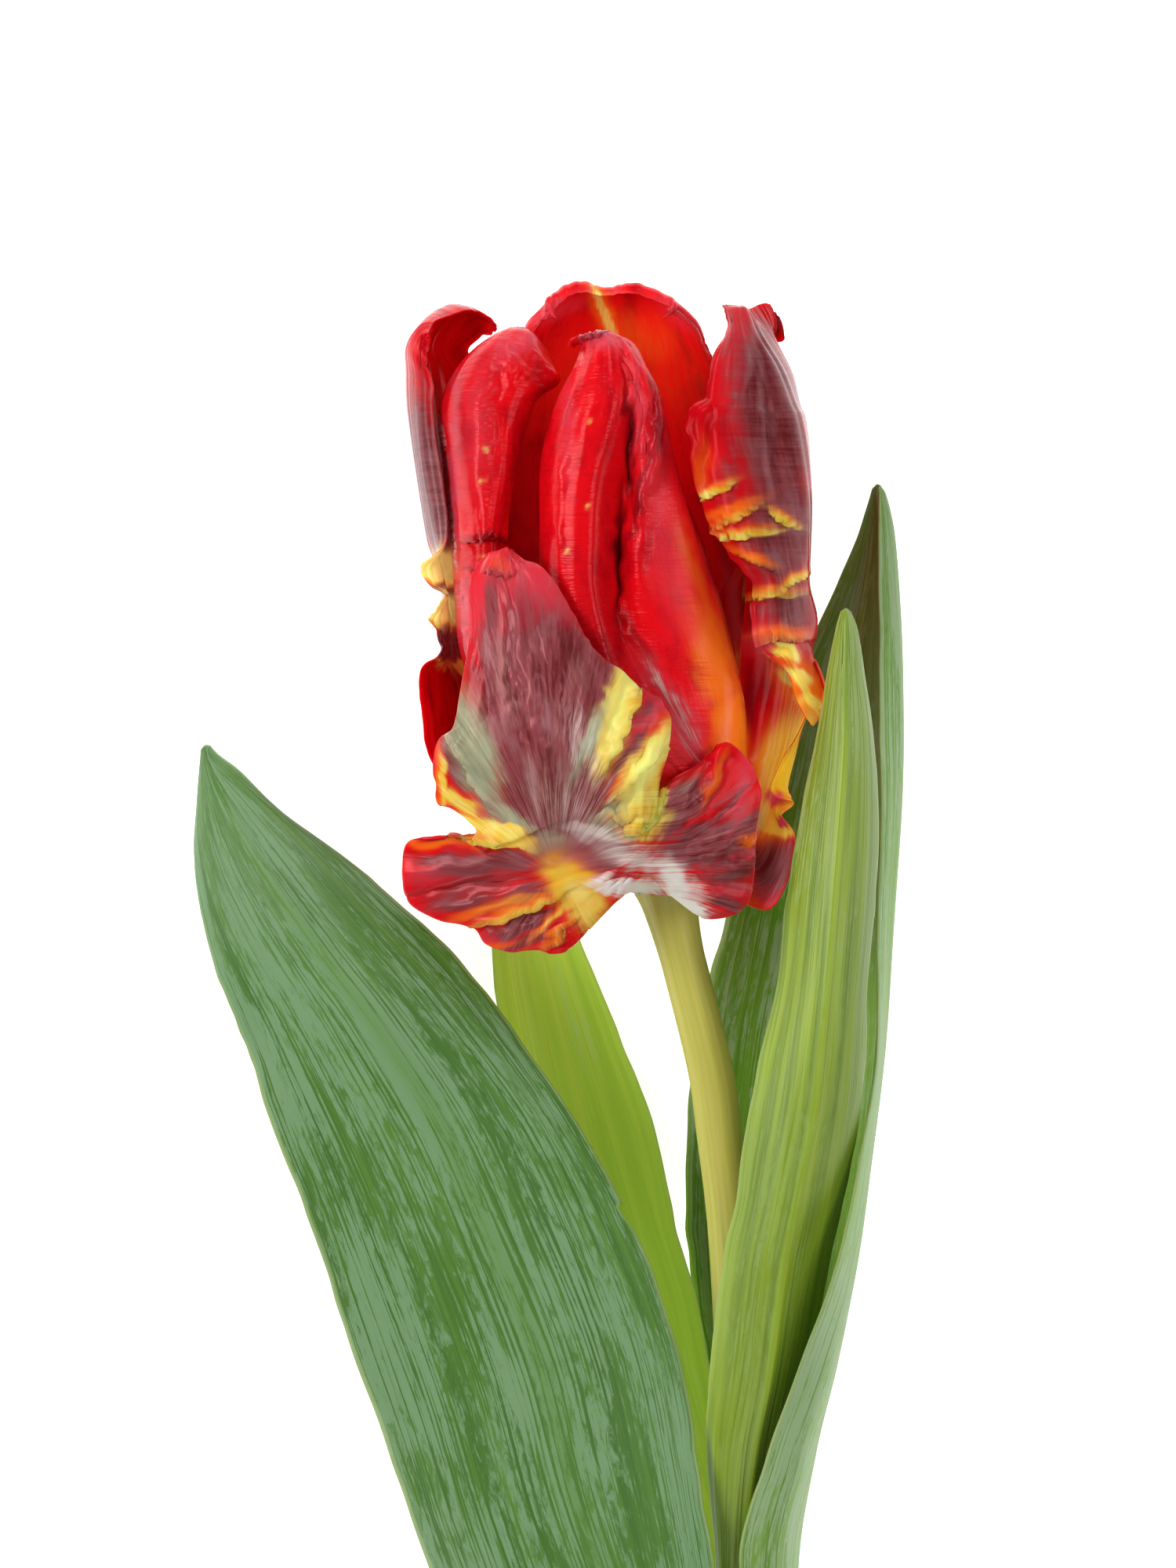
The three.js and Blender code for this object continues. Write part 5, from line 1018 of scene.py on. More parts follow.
# %% Table of the outer tepals
TEPALS |= {
    "tepal_outer_right": dict(
        grid=(141, 301), streaks=0.5, wrinkles=1.5, wrinkle=.5, seed=41, flame=0.5, ribs=.08, glow=.1,
        deep=.3, faced=True, gloss=.1, bump=.15, bend=.22,
        left=(0, .1, .3, .6, .9, 1.2, 1.3, .6, .5), right=(0, 0, .2, .3, .3, .3, .5),
        tears=[(5.6, 50.6, 3, 2.4, 22, 1.4, 1), (14.8, 47.4, 2.2, 2.0, -24, 1.4, 1.1),
               (9.6, 45.4, 4.6, 2.0, 8, 1.7, 1.1), (8.6, 47.6, 3.4, 1.5, 26, 1.1, .6),
               (16.2, 39.8, 2.4, 2, 28, 1.4, 1), (13, 38.0, 4.6, 2.0, 4, 1.6, .7),
               (10.6, 42.2, 3.4, 2, -22, 1.3, .3), (14, 32.6, 5, 1.6, 2, 1.5, .3)],
        hills=[(12.9, 58, 9, .8, -84, -1.0), (10.4, 66, 7, .8, 80, -.5), (8.6, 58, 10, 1.2, 84, .6),
               (3.4, 56, 4, 1, 80, .5), (5.2, 57, 5, .7, 84, -.7), (15.2, 29.6, 1.2, 1.2, -60, .7),
               (16.4, 26.8, 1.1, 1.1, -60, .8), (17.8, 23.8, 1.1, 1, -60, .7), (8, 36, 5, .9, -76, .9)],
        dusk=[(13.4, 60, 4.6, 14, 8, 1.1), (10.2, 60, 2.6, 8, 0, .5), (14.6, 47, 4.6, 9, 0, 1),
              (15.2, 37, 3, 4.4, 0, .95), (12.6, 36, 2.6, 2.4, 0, .5), (13.6, 3.6, 3.2, 4, 0, 1.0),
              (7.6, 52, 2, 4, 0, .4)],
        rose=[(13.9, 12, 1.5, 1.2, 0, 1), (14.9, 9.2, 1, .9, 0, 1), (10, 66, 2.4, 7, 0, .4),
              (13, 32.4, 4, 1.6, 0, .8), (13.6, 12.2, 2.4, 1.4, 0, .9), (13, 1, 3, 3, 0, .5),
              (7, 35, 7, .6, -78, .9)],
        warm=[(4.4, 54, 1.4, 4, 0, .45), (8.8, 19, 2.0, 6, 0, 1.3), (14, 14, 3.4, 7, -14, 1.3),
              (14.5, 33.6, 4, .6, 4, .6), (17.5, 26, 5, 2.6, -60, 1), (12, 8.5, 3, 2.4, 0, .8),
              (8, 48.6, 5, .7, 20, .7)],
        gold=[(14.9, 30.8, 1.7, .8, -30, 1.4), (16.5, 27.6, 1.6, .8, -30, 1.4),
              (18.2, 24.4, 1.5, .8, -30, 1.4), (17.4, 25.8, 4, .5, -62, 1), (13.6, 8.6, 2.6, 1.1, -10, 1.3),
              (15.8, 16.4, 3.2, 6.4, -16, 1.1), (12.6, 10.6, 2.6, 3, 0, .8)],
        plain=[(11.2, 27, 1.5, 6, 0, .9), (13.9, 12.0, 1.5, 1.2, 0, 1.0), (14.9, 9.2, 1.0, .9, 0, 1.0)],
        lit=[(13, 20, 6, 11, 0, .9), (6, 50, 2, 8, 0, .3)],
        calm=[(15, 15, 4, 9, -12, 1.1), (13, 58, 7, 22, 0, .35)],
        # shade: mostly painted shade in the creases and deep in the cup
        shade=[(9.4, 32, 2.6, 6, 0, .4), (12.6, 64, 2.8, 10, 10, .8), (11.2, 25, 1.5, 7, 0, .8),
               (12.8, 27, 1.8, 5, 0, .6), (13.2, 58, 9, .5, -84, .7), (17.6, 27.6, 1.2, .5, 30, .6)],
        cross=[(13, 58, 12, 24, 0, 1)]),
    "tepal_outer_left": dict(
        grid=(111, 241), streaks=0.5, wrinkles=1.5, wrinkle=.35, seed=51, flame=0.5, ribs=.08, glow=0.12,
        deep=.3, faced=True, gloss=.12, bump=.2,
        left=(0, 0, .2, .3, .3, .3, .5), right=(0, .3, .4, .6, .5, .5, .4, .4, .4),
        dusk=[(-31, 53, 3.4, 12, 0, 1), (-29.2, 47.6, 2.2, 4.4, 0, 1), (-28.5, 32, 2, 2.4, 0, .9),
              (-28.6, 38.6, 2, 1.1, 0, 1)],
        gold=[(-28.8, 36.0, 2.6, 1.7, 0, 1.5), (-29.6, 41.8, 2.8, 1.8, 0, 1.5),
              (-26.8, 29.2, 2.0, .8, 0, 1.1)],
        speck=[(-29.2, 36.4, 2.8, 1.7, 10, 2), (-29.9, 42.0, 3.0, 1.8, 10, 2)],
        # shade: painted shade that darkens the dusky strip
        shade=[(-31.4, 52, 3, 12, 0, .6), (-29.2, 47.6, 2, 4, 0, .6)],
        calm=[(-31, 50, 5, 16, 0, .3)],
        lit=[(-30.4, 39, 3, 6, 0, .9), (-28, 71, 6, 4, 0, .3)],
        cross=[(-30, 48, 6, 20, 0, 1)]),
    "tepal_outer_front": dict(
        grid=(161, 301), streaks=0.55, wrinkles=0.9, wrinkle=0.2, seed=61, flame=0.0, ribs=.16, deep=.06,
        left=(.2, .3, .3, .3, .4, .5, .4, .3, .2, .2), right=(.2, .3, .3, .3, .5, .8, .8, .5, .3, .2),
        tears=[(-20.8, 40.4, 2.0, 2.4, 4, .7, 0), (-5.4, 21.6, 6.0, 2.6, 63, 1.9, 1),
               (-3.6, 15.0, 4.6, 1.8, 40, 1.3, .9), (-3.3, 10.8, 3, 1.3, 95, .9, 0),
               (-24.5, 15.2, 6, 2.2, -60, 1.5, 0), (-21.8, 6.5, 4.6, 1.6, -12, 1.4, .8),
               (-19, -1.7, 6.6, 2.2, 24, 1.6, .7), (-13.6, -5.3, 3, 1.2, 40, .9, .3),
               (7.2, 6.2, 4.6, 1.8, 18, 1.2, 0)],
        hills=[(-17.6, 26, 13, 1.2, 103, .7), (-19.8, 33, 8, .6, 94, -.7), (-13, 22, 12, .9, 112, -.7),
               (-16, 14, 9, 1.0, 96, .6), (-10.2, 25, 8, 1.0, 116, .5), (-22.6, 25, 9, .9, 98, -.4),
               (-6.6, 22.6, 5, .6, 66, -.6), (-1.4, 18, 4.6, .7, 62, .7), (-3.2, 17.4, 4, .5, 60, -.6),
               (-6.4, 11.6, 2.6, .5, 30, -.6), (-5, 9.4, 2.4, .5, 14, -.6), (-1.4, 11.4, 3, .6, 84, .5),
               (-26, 3.6, 8, .9, 4, .7), (-24, 1.4, 8, .6, 8, -.7), (-22, -.4, 8, .7, 16, .5),
               (-18.6, -4, 5, .7, 24, .5), (5.8, 15.4, 4.4, .8, 66, 1.0), (4.4, 14.4, 4.4, .6, 64, -.6),
               (6, 10, 6, .7, 42, -.5), (8, 4, 5, .8, 16, .5), (8, 2, 5, .6, 0, -.6),
               (7, 0, 4, .8, -14, .5), (-4.5, 1.4, 6, .8, -4, .6)],
        dusk=[(-14.8, 24, 12, 10.5, 104, 1.35), (-18.4, 34, 5, 6, 0, .65), (-22, 35, 6, 1.2, 84, .8),
              (-14, 15, 10, 8, 98, 1.25), (-11, 6, 7, 4.6, 0, 1.15), (9.4, 8, 5, 1.1, 50, .9),
              (9.4, 3.6, 5, 1.0, 20, .9), (7.6, -1, 4, .9, -20, .9), (-29, 4.6, 4, .9, 0, .8),
              (-25.6, -1.2, 6, 1.1, 10, .8), (-17.6, -6, 4, .8, 20, .9), (-24, 3.8, 7, 2.0, 5, .8),
              (-24, 1.4, 10, 5.4, 10, .5), (7.4, 5, 8, 9, 0, .5), (-22.8, 3.8, 8, 1.3, 6, 1),
              (-25, 1.4, 6, .6, 8, .7), (-18, 0, 5, 1.2, 20, .9), (-18.4, -3.6, 4.6, 1.4, 24, 1),
              (-26.8, 16.6, 3.6, 1.3, -64, 1), (-23.4, 12.6, 4, .9, -50, .9),
              (1.4, 10.6, 5.4, 2.8, 48, 1.1), (3.6, 6.4, 6, 2.6, 28, 1.1), (7.0, 10.6, 5, .6, 48, .8),
              (8, 4.4, 4, .8, 10, .8), (-5, 17.6, 5.4, .7, 56, 1.1), (-2.6, 23.4, 2.6, 1.0, 60, .6)],
        # Pink: mostly the tongue's own tint, with a painted highlight on the lower lobe of the left arm
        rose=[(-18, 36, 8, 8, 0, .8), (-19.6, 33, 8, .9, 96, .9), (-2.4, 23.0, 3.6, 1.3, 62, 1),
              (9, 12, 1.2, 7, -10, .8), (-28, 3, 4, 1, 6, .8), (-20, -5, 3.4, .8, 20, .8),
              (-11, 27, 8, .8, 116, .6), (8, 1, 3, 1.6, 0, .4)],
        mint=[(-24.6, 18.6, 8.8, 2.8, 110, 1.15), (-9.8, 19.4, 6.4, 1.1, 68, .9),
              (-14.5, 12, 7, 3.6, 98, .22), (-20.4, 27, 6, 1.2, 98, .25), (-11.6, 28.6, 5, 1.4, 118, .15),
              (-6.8, 11.0, 2.6, 1.2, 40, .8), (-19.8, 10, 4.6, 1.2, -38, .9), (-15, 6.8, 3, 2, 0, .55),
              (2.8, 14.4, 2.8, 1.1, 42, .3), (-7.6, 9, 3, 2, 0, .6)],
        gold=[(-6.7, 22.4, 6.2, 1.9, 76, 1.4), (-2.7, 15.8, 6, 2.0, 58, 1.4), (-4.6, 11.4, 3, 1.6, 30, 1.0),
              (-1.6, 11.2, 3.8, 1.2, 82, 1.4), (-3, 9.2, 3, 1.6, 20, 1.2), (-28.4, 14.4, 3.2, .5, 94, 1),
              (-26, 11.9, 3, .8, -36, 1.2), (-21.4, 8.1, 4.8, 1.3, -24, 1.3),
              (-11.5, .6, 4.4, 2.6, -50, 1.3), (-14.2, -2.3, 4.4, .45, 52, .6),
              (-20.2, -.9, 5.4, .4, 19, .3)],
        warm=[(-28.9, 15.4, 3.6, .6, 92, 1.1), (-28.4, 12, 1.4, 1, 0, 1), (-22.5, -1.5, 7.5, .6, 18, .7),
              (-28, 6.7, 5.5, .6, -2, 1), (-23.8, 6.6, 1.8, .8, -20, 1.1), (-11.5, .8, 5.2, 3.6, -50, .9),
              (-14.6, -2.6, 5, .8, 52, .8), (5.8, 14.6, 4.4, .4, 64, .7), (10.4, 7.2, 1.4, .8, 30, 1),
              (-21.6, -6.5, 4, .5, 8, .6), (-20.8, 41.6, 1.8, 1.2, 0, .35)],
        # White: fine hairs at the base, and on the body partly a painted silvery sheen
        silk=[(-8.6, 7.8, 5.6, 1.2, -14, 1.1), (-4, 4.6, 5.6, 1.6, -24, 1.2),
              (1.2, 1.8, 4.4, 1.8, -40, 1.9), (-4.8, 1.2, 5.6, 1.1, -4, 2.0),
              (2.2, -.8, 4.2, 1.2, -46, 2.2), (-16, 25, 9, .5, 102, .3), (-10.4, 18, 9, 3, 112, .5),
              (-12, 11, 7, 5, 0, .42), (-11, 24, 9, .4, 112, .35)],
        calm=[(-11.6, 3.6, 6, 5.4, 0, 1.2), (-24, 1, 9, 5, 8, .75), (-15, 24, 13, 8, 104, .3)],
        lit=[(-16, 28, 14, 9, 100, .25), (-4, 17, 7, 4, 64, .22), (-22, 9, 6, 2, -34, .35)],
        speck=[(-6.6, 22.8, 5.6, 1.2, 76, .8), (-2.5, 16, 5, 1.4, 58, 1.1), (-21, 8, 3, .7, -24, .4),
               (-11.6, .6, 2.6, 1.4, -50, .5)],
        # shade: darker crimson on the arms, and painted shade in the grooves between lobes and under folds
        shade=[(-27, 1, 7, 5, 6, .32), (-18, -4, 6, 3, 20, .35), (9.6, 3, 4, 9, -8, .32),
               (-8.6, 15.2, 2.6, .6, 46, .9), (-6.4, 20.4, 4.6, .35, 64, .5),
               (-24.6, 14.6, 6, .5, -58, .8)]),
}

# %% [markdown]
# ## Streaks of a tepal
# The veins of a tepal run from its base to its tip, and fan out where it has arms. The pattern follows them
# if each point knows how many mm across and along the veins it lies. A pattern laid flat over the flower
# would cut across them instead.

# %% Streaks of a tepal
FAN_LEFT, FAN_RIGHT, FAN_Y = -14, -6, 3  # mm, where the streaks of the front tepal's two arms start
FAN_RADIUS = 20  # mm, turns an angle round that place into a width
FAN_SEAM = 150  # degrees, a direction in which the front tepal has no points


def flow_of(name, grid, u):
    """Pattern places in mm. On most tepals the streaks run from base to tip, so the places are the share
    across times the middle width, and the mean length up to their row. On the front tepal they fan out into
    its arms, so the places are the angle round the base times a radius, and the distance from it."""
    if name == "tepal_outer_front":
        dx = grid[..., 0] - FAN_LEFT - (FAN_RIGHT - FAN_LEFT) * ramp(grid[..., 0], -8, 4)
        dy = grid[..., 1] - FAN_Y
        turn = (np.degrees(np.arctan2(dx, dy)) - FAN_SEAM) % 360 - (360 - FAN_SEAM)
        return np.stack([np.radians(turn) * FAN_RADIUS, np.hypot(dx, dy)], -1)
    width = np.percentile(run(grid, 1)[:, -1], 60)
    length = run(grid, 0).mean(axis=1, keepdims=True) * np.ones_like(u)
    return np.stack([u * width, length], -1)


square = flow_of("tepal_inner_back", sheet(NETS["tepal_inner_back"], 5, 9), np.ones((9, 5)))
print("the back tepal's pattern ends at", square[-1, -1].round(1), "mm")

# %% [markdown]
# ## Surface of a tepal
# A petal that follows its net exactly looks like plastic. A real one has faint ribs over its veins and
# shallow dents. Both are random curves and fields, added along the normal before folds and ruffles.

# %% Surface of a tepal
RIB_SAMPLES, RIB_EVERY = 400, 9  # across a tepal, ribs have so many samples and a random value in every 9th
DENT = 0.18  # mm by which the sheet is dented at random


def wander(n, m, seed):
    """A fine and a coarse random field, added up."""
    return drift(n, m, 60, 30, seed) + drift(n, m, 24, 8, seed + 2)


def tepal_surface(name, facts, u, v):
    """The net's surface with ribs that follow the streaks, dents, folds and ruffled margins. Ribs and dents
    are height * noise, and fade out towards the base. Also gives the pattern places, and x and y moved at
    random, which give folds and patches an uneven outline."""
    n, m = u.shape
    seed, bend = facts["seed"], facts.get("bend", 0.4)
    grid = sheet(NETS[name], m, n)
    flow = flow_of(name, grid, u)
    wide, long = flow[..., 0], flow[..., 1]
    samples = np.linspace(wide.min(), wide.max(), RIB_SAMPLES)
    ribs = np.interp(wide, samples, waver(RIB_SAMPLES, RIB_EVERY, seed))
    relief = facts["ribs"] * ribs * ramp(v, 0.03, 0.2) * ramp(long, 2, 9)
    relief = relief + DENT * drift(n, m, 16, 8, seed + 1) * ramp(v, 0.05, 0.2)
    grid = grid + facing(grid)[2] * relief[..., None]
    x, y = grid[..., 0] + bend * wander(n, m, seed + 2), grid[..., 1] + bend * wander(n, m, seed + 3)
    folded = bulge(grid, x, y, facts.get("hills", []), facts.get("tears", []))
    return ruffle(folded, facts["left"], facts["right"], seed), flow, x, y


print(RIB_SAMPLES // RIB_EVERY, "random heights side by side make the ribs of a tepal")

# %% [markdown]
# ## Masks of a tepal
# The table places most colours. Some follow from the form instead: the lips of tears, the flame along the
# middle, the yellow base, and paints that only lie where a curled sheet looks up. Working them out from the
# surface keeps them in place when the net is changed.

# %% Masks of a tepal
LIP = 0.6  # mm, width of the painted lip of a tear


def lip_paint(x, y, tears, strengths):
    """Mask for a line on the lip of each tear, with a along and d across it in mm:
    strength * e^-(a^2 + (d / LIP)^2), on the side to which the tear rises."""
    mask = np.zeros(x.shape)
    for tear, strength in zip(tears, strengths):
        a, b = turned(x, y, tear)
        d = b * tear[3]
        mask = np.maximum(mask, strength * np.exp(-(a**2) - (np.maximum(d, 0) / LIP) ** 2) * ramp(d, -0.5, 0))
    return mask


def tepal_masks(name, facts, grid, x, y, u, v):
    """Masks of all paints, one set for the outer face and one for the inner face. Patches come first. A
    tear's lip is yellow with an orange rim, and has a painted shadow under it, a dark line on its other side.
    The flame is flame * e^-((u - 0.5) / 0.33)^2, where no warm or yellow paint lies. The base is orange up to
    0.16 of the length on the outer face, and on the inner one orange and yellow up to `glow` of it."""
    tears = facts.get("tears", [])
    masks = {key: patches(x, y, facts.get(key, [])) for key in PAINTS}
    masks["gold"] = np.maximum(masks["gold"], lip_paint(x, y, tears, [tear[6] for tear in tears]))
    rims = [0.9 * (tear[6] > 0) for tear in tears]
    masks["warm"] = np.maximum(masks["warm"], lip_paint(x, y - 0.5, tears, rims))
    # Painted shadow: a dark line just under each lip, on the side away from its rise
    under = [(*tear[:4], tear[4] + 180, *tear[5:]) for tear in tears]
    masks["shade"] = np.maximum(masks["shade"], lip_paint(x + 0.25, y - 0.4, under, [0.8] * len(tears)))
    masks["shade"] = np.maximum(masks["shade"], facts.get("deep", 0))
    for key in ("warm", "gold", "speck"):
        masks[key] = masks[key] * (1 - np.clip(patches(x, y, facts.get("plain", [])), 0, 1))
    inside = dict(masks)
    if "faced" in facts:
        up = facing(grid)[2][..., 2]
        for key in ("warm", "gold", "speck", "lit"):
            masks[key] = masks[key] * ramp(up, 0.1, 0.4) * ramp(grid[..., 2], 0, 3)
            inside[key] = inside[key] * ramp(-up, -0.35, -0.05)
        masks["dusk"] = masks["dusk"] * (0.35 + 0.65 * ramp(grid[..., 2], -12, 2))
    flame = facts["flame"] * np.exp(-(((u - 0.5) / 0.33) ** 2)) * ramp(v, 0.02, 0.15) * ramp(-v, -1.0, -0.75)
    masks["dusk"] = np.maximum(masks["dusk"], flame * (1 - np.clip(masks["warm"] + masks["gold"], 0, 1)))
    if name != "tepal_outer_front":
        masks["warm"] = np.maximum(masks["warm"], 0.8 * ramp(-v, -0.16, -0.05))
        glow, bare = facts.get("glow", 0.4), 1 - np.clip(masks["rose"] + masks["shade"], 0, 1)
        inside["warm"] = np.maximum(inside["warm"], 0.9 * ramp(-v, -glow, -0.5 * glow) * bare)
        inside["gold"] = np.maximum(inside["gold"], ramp(-v, -0.6 * glow, -0.3 * glow) * bare)
    return masks, inside


print(len(PAINTS), "masks for each face of a tepal")

# %% [markdown]
# ## Building the tepals
# Now each tepal is put together: its surface, its blade, its masks and its finish. It rides on the root of
# the frame and takes the place of one solid of the model.

# %% Build the tepals
TEPAL_THICKNESS, TEPAL_APART = 0.5, 40  # mm, the last between the pattern places of the two faces


def tepal(name, facts):
    """Builds one tepal: surface, blade, masks and finish. u and v are the shares across and along."""
    m, n = facts["grid"]
    v, u = np.meshgrid(np.linspace(0, 1, n), np.linspace(0, 1, m), indexing="ij")
    grid, flow, x, y = tepal_surface(name, facts, u, v)
    points, faces, _ = blade_shell(grid, TEPAL_THICKNESS)
    masks, inside = tepal_masks(name, facts, grid, x, y, u, v)
    values = {key: np.concatenate([masks[key].ravel(), inside[key].ravel()]) for key in PAINTS}
    finish = petal_material(name.replace("tepal", "paint"), facts)
    flow = both_faces(flow, TEPAL_APART)
    return new_piece(name.replace("tepal", "petal"), points, faces, finish, name, flow, values)


for name, facts in TEPALS.items():
    tepal(name, facts)

# %% [markdown]
# ## Leaves
# A tulip leaf is a long sheet with veins that run side by side from base to tip, a fold along its middle
# and a thin blue-grey film of wax that rubs off in streaks. The film is what tells it from grass. The veins
# are noise that is stretched many times along the leaf, and the rubbed film is wherever another noise is
# high enough. The folds are in the surface, because they change how it shades.

# %% Leaf material
FOOT_GREEN = (0.36, 0.45, 0.14, 1)  # of the pale foot and margin of a leaf
LEAF_TISSUE = (0.5, 1.0, 0.2)  # green light goes furthest in a leaf

veins, given, result, g = node_group(
    "leaf_veins",
    [("Flow", "Vector", None), ("Wax", "Float", 0.5), ("Shift", "Float", 0.0)],
    [("Vein", "Float"), ("Film", "Float"), ("Tone", "Float"), ("Height", "Float")],
)
moved = g.moved(given.outputs["Flow"], given.outputs["Shift"])
# Veins, broad bands of another green, rubbed places in the wax, and thicker and thinner clouds of it
fine = g.noise(g.stretch(moved, 2.6, 0.035), 2.0, 0.5)
broad = g.noise(g.stretch(moved, 0.55, 0.02, 4.4), 2.0, 0.5)
rubbed = g.noise(g.stretch(moved, 1.1, 0.26, 9.7), 6.0, 0.72, 0.6)
cloud = g.noise(g.stretch(moved, 0.12, 0.035, 2.2), 3.0, 0.5)
film = g.minus(g.plus(g.times(rubbed, 0.8), g.times(cloud, 0.7)), g.times(g.step(fine, 0.5, 0.64), 0.2))
g.link(g.step(fine, 0.52, 0.72), result.inputs["Vein"])
g.link(g.step(g.plus(film, given.outputs["Wax"]), 1.13, 1.28), result.inputs["Film"])
g.link(broad, result.inputs["Tone"])
g.link(g.plus(fine, g.times(broad, 0.8)), result.inputs["Height"])
print("group", veins.name, len(veins.nodes), "nodes")


def leaf_material(name, facts):
    """Leaf finish. The facts give its deep and its light green, the colour and the amount of its wax film,
    and how strong a painted glow in its own green is, for light that comes through it and the shade it lies
    in. The seed moves the pattern."""
    material, shader, at = new_material(name)
    lines = at.add("Group", node_tree=veins)
    at.link(at.add("UVMap", uv_map="flow").outputs[0], lines.inputs["Flow"])
    lines.inputs["Wax"].default_value = facts["wax"]
    lines.inputs["Shift"].default_value = facts["seed"] * 2.7
    green = at.mix(at.step(lines.outputs["Tone"], 0.15, 0.85), facts["deep"], facts["light"])
    green = at.mix(at.times(lines.outputs["Film"], at.value("wax")), green, facts["film"])
    green = at.mix(at.times(lines.outputs["Vein"], 0.75), green, facts["deep"])
    green = at.mix(at.value("dim"), green, facts["deep"])
    green = at.mix(at.value("rib"), green, facts["light"])
    green = at.mix(at.value("pale"), green, FOOT_GREEN)
    relief = at.add("Bump", {"Height": lines.outputs["Height"], "Strength": 0.5, "Distance": 0.25 * MM})
    at.link(green, shader.inputs["Base Color"])
    if "glow" in facts:
        # A painted glow in the leaf's own green
        at.link(green, shader.inputs["Emission Color"])
        shader.inputs["Emission Strength"].default_value = facts["glow"]
    at.link(at.plus(0.42, at.times(lines.outputs["Film"], 0.16)), shader.inputs["Roughness"])
    at.link(relief.outputs[0], shader.inputs["Normal"])
    tissue(shader, 0.15, LEAF_TISSUE, 0.8, 0.5)
    return material

# %% [markdown]
# ## Building the leaves
# The leaves differ in their greens, since each catches other light, and in how much of the film is rubbed
# off. Their margins wave gently, in waves some 14 mm long. The keel and the ridges beside it are too low to
# change the outline, but they catch the light along the leaf.

# %% Build the leaves
LEAF_GRID = (49, 201)  # points across and along
LEAF_THICKNESS, LEAF_APART = 0.6, 60  # mm, the last between the pattern places of the two faces
LEAF_RUFFLE = (0, 0.2, 0.5, 0.5, 0.4, 0.1, 0)  # mm, at even steps from base to tip
KEEL, KEEL_SHARE = 0.35, 0.035  # height in mm of the fold along the middle, and half its width as a share
RIDGES, RIDGE_HEIGHT = 11, 0.02  # shallow ridges side by side, and their height in mm
# The greens, and then: wax, how much film there is. Notch, height and depth in mm of a nick in the right
# margin. Dim, how dark the right half is. Bare, how much of the film is gone from the lower part. Glow, how
# strong a painted glow in the leaf's own green is, which lifts a leaf that lies in shade and stands in for
# light that comes through it.
LEAVES = {
    "leaf_left_front": dict(
        deep=(0.040, 0.130, 0.008, 1), light=(0.090, 0.225, 0.022, 1), film=(0.155, 0.290, 0.125, 1),
        wax=0.50, seed=71, notch=(-40.2, 1.2)),
    "leaf_right_front": dict(
        deep=(0.12, 0.21, 0.013, 1), light=(0.33, 0.455, 0.022, 1), film=(0.31, 0.43, 0.12, 1),
        wax=0.44, seed=73, dim=0.6, bare=0.7),
    "leaf_right_back": dict(
        deep=(0.11, 0.26, 0.015, 1), light=(0.20, 0.38, 0.025, 1), film=(0.29, 0.42, 0.20, 1),
        wax=0.48, seed=75),
    "leaf_left_back": dict(
        deep=(0.33, 0.52, 0.04, 1), light=(0.46, 0.62, 0.06, 1), film=(0.42, 0.58, 0.12, 1),
        wax=0.30, seed=77, glow=0.3),
}


def nicked(grid, place, depth):
    """A nick in the right margin, with d mm from that margin: depth * e^-(d / 1.2)^2, between the height
    place - 3 and a little above `place`."""
    s = run(grid, 1)
    near = np.exp(-((s[:, -1:] - s) / 1.2) ** 2)
    bite = depth * near * ramp(grid[..., 1], place - 3, place) * ramp(-grid[..., 1], -place - 0.4, -place)
    return grid - facing(grid)[0] * bite[..., None]


def leaf(name, facts):
    """Builds one leaf: surface with waved margins, keel and ridges, blade, then its masks. The keel is
    KEEL * e^-((u - 0.5) / KEEL_SHARE)^2 high, with u the share across, and the ridges are a cosine of u. The
    masks: the rib along the middle, the pale foot and margin, the film of wax, and the dim half."""
    m, n = LEAF_GRID
    v, u = np.meshgrid(np.linspace(0, 1, n), np.linspace(0, 1, m), indexing="ij")
    grid = sheet(NETS[name], m, n)
    grid = ruffle(grid, LEAF_RUFFLE, LEAF_RUFFLE, facts["seed"], wave=14, tooth=6, width=5)
    out = facing(grid)[2]
    if "notch" in facts:
        grid = nicked(grid, *facts["notch"])
    keel = KEEL * np.exp(-(((u - 0.5) / KEEL_SHARE) ** 2)) * ramp(-v, -1, -0.8)
    keel -= RIDGE_HEIGHT * np.cos(u * np.pi * 2 * RIDGES) * ramp(v, 0.05, 0.2)
    grid = grid + out * keel[..., None]
    points, faces, edge = blade_shell(grid, LEAF_THICKNESS, foot=True)
    values = {
        "rib": 0.55 * np.exp(-(((u - 0.5) / 0.03) ** 2)) * ramp(-v, -1, -0.6),
        "pale": np.maximum(0.45 * ramp(-v, -0.16, 0), 0.7 * ramp(-edge, -0.35, -0.05) * ramp(v, 0.04, 0.2)),
        "wax": ramp(v, 0.03, 0.2) * (1 - facts.get("bare", 0) * ramp(-v, -0.75, -0.5)),
        "dim": facts.get("dim", 0) * ramp(u, 0.55, 0.9),
    }
    values = {key: np.tile(value.ravel(), 2) for key, value in values.items()}
    flow = both_faces(np.stack([u * run(grid, 1)[:, -1].max(), run(grid, 0)], -1), LEAF_APART)
    finish = leaf_material(name.replace("leaf", "green"), facts)
    return new_piece(name.replace("leaf", "foliage"), points, faces, finish, name, flow, values)


for name, facts in LEAVES.items():
    leaf(name, facts)

# %% [markdown]
# ## Stem
# The stem is a soft round tube that swells into the receptacle under the bloom. A circle carried along a
# curved line gives it, with slight ridges where its bundles run. Its cut end is a flat disc with a sunken
# middle, closed by a single point. The stem pales towards the bloom.

# %% Tubes
STEM_TISSUE = (0.6, 1.0, 0.3)  # how far red, green and blue light go in a stem, as shares


def ring_faces(index):
    """Four-sided faces between rings of points, whose numbers stand in the rows of `index`."""
    following = np.roll(index, -1, axis=1)
    return np.stack([index[:-1], following[:-1], following[1:], index[1:]], -1).reshape(-1, 4)


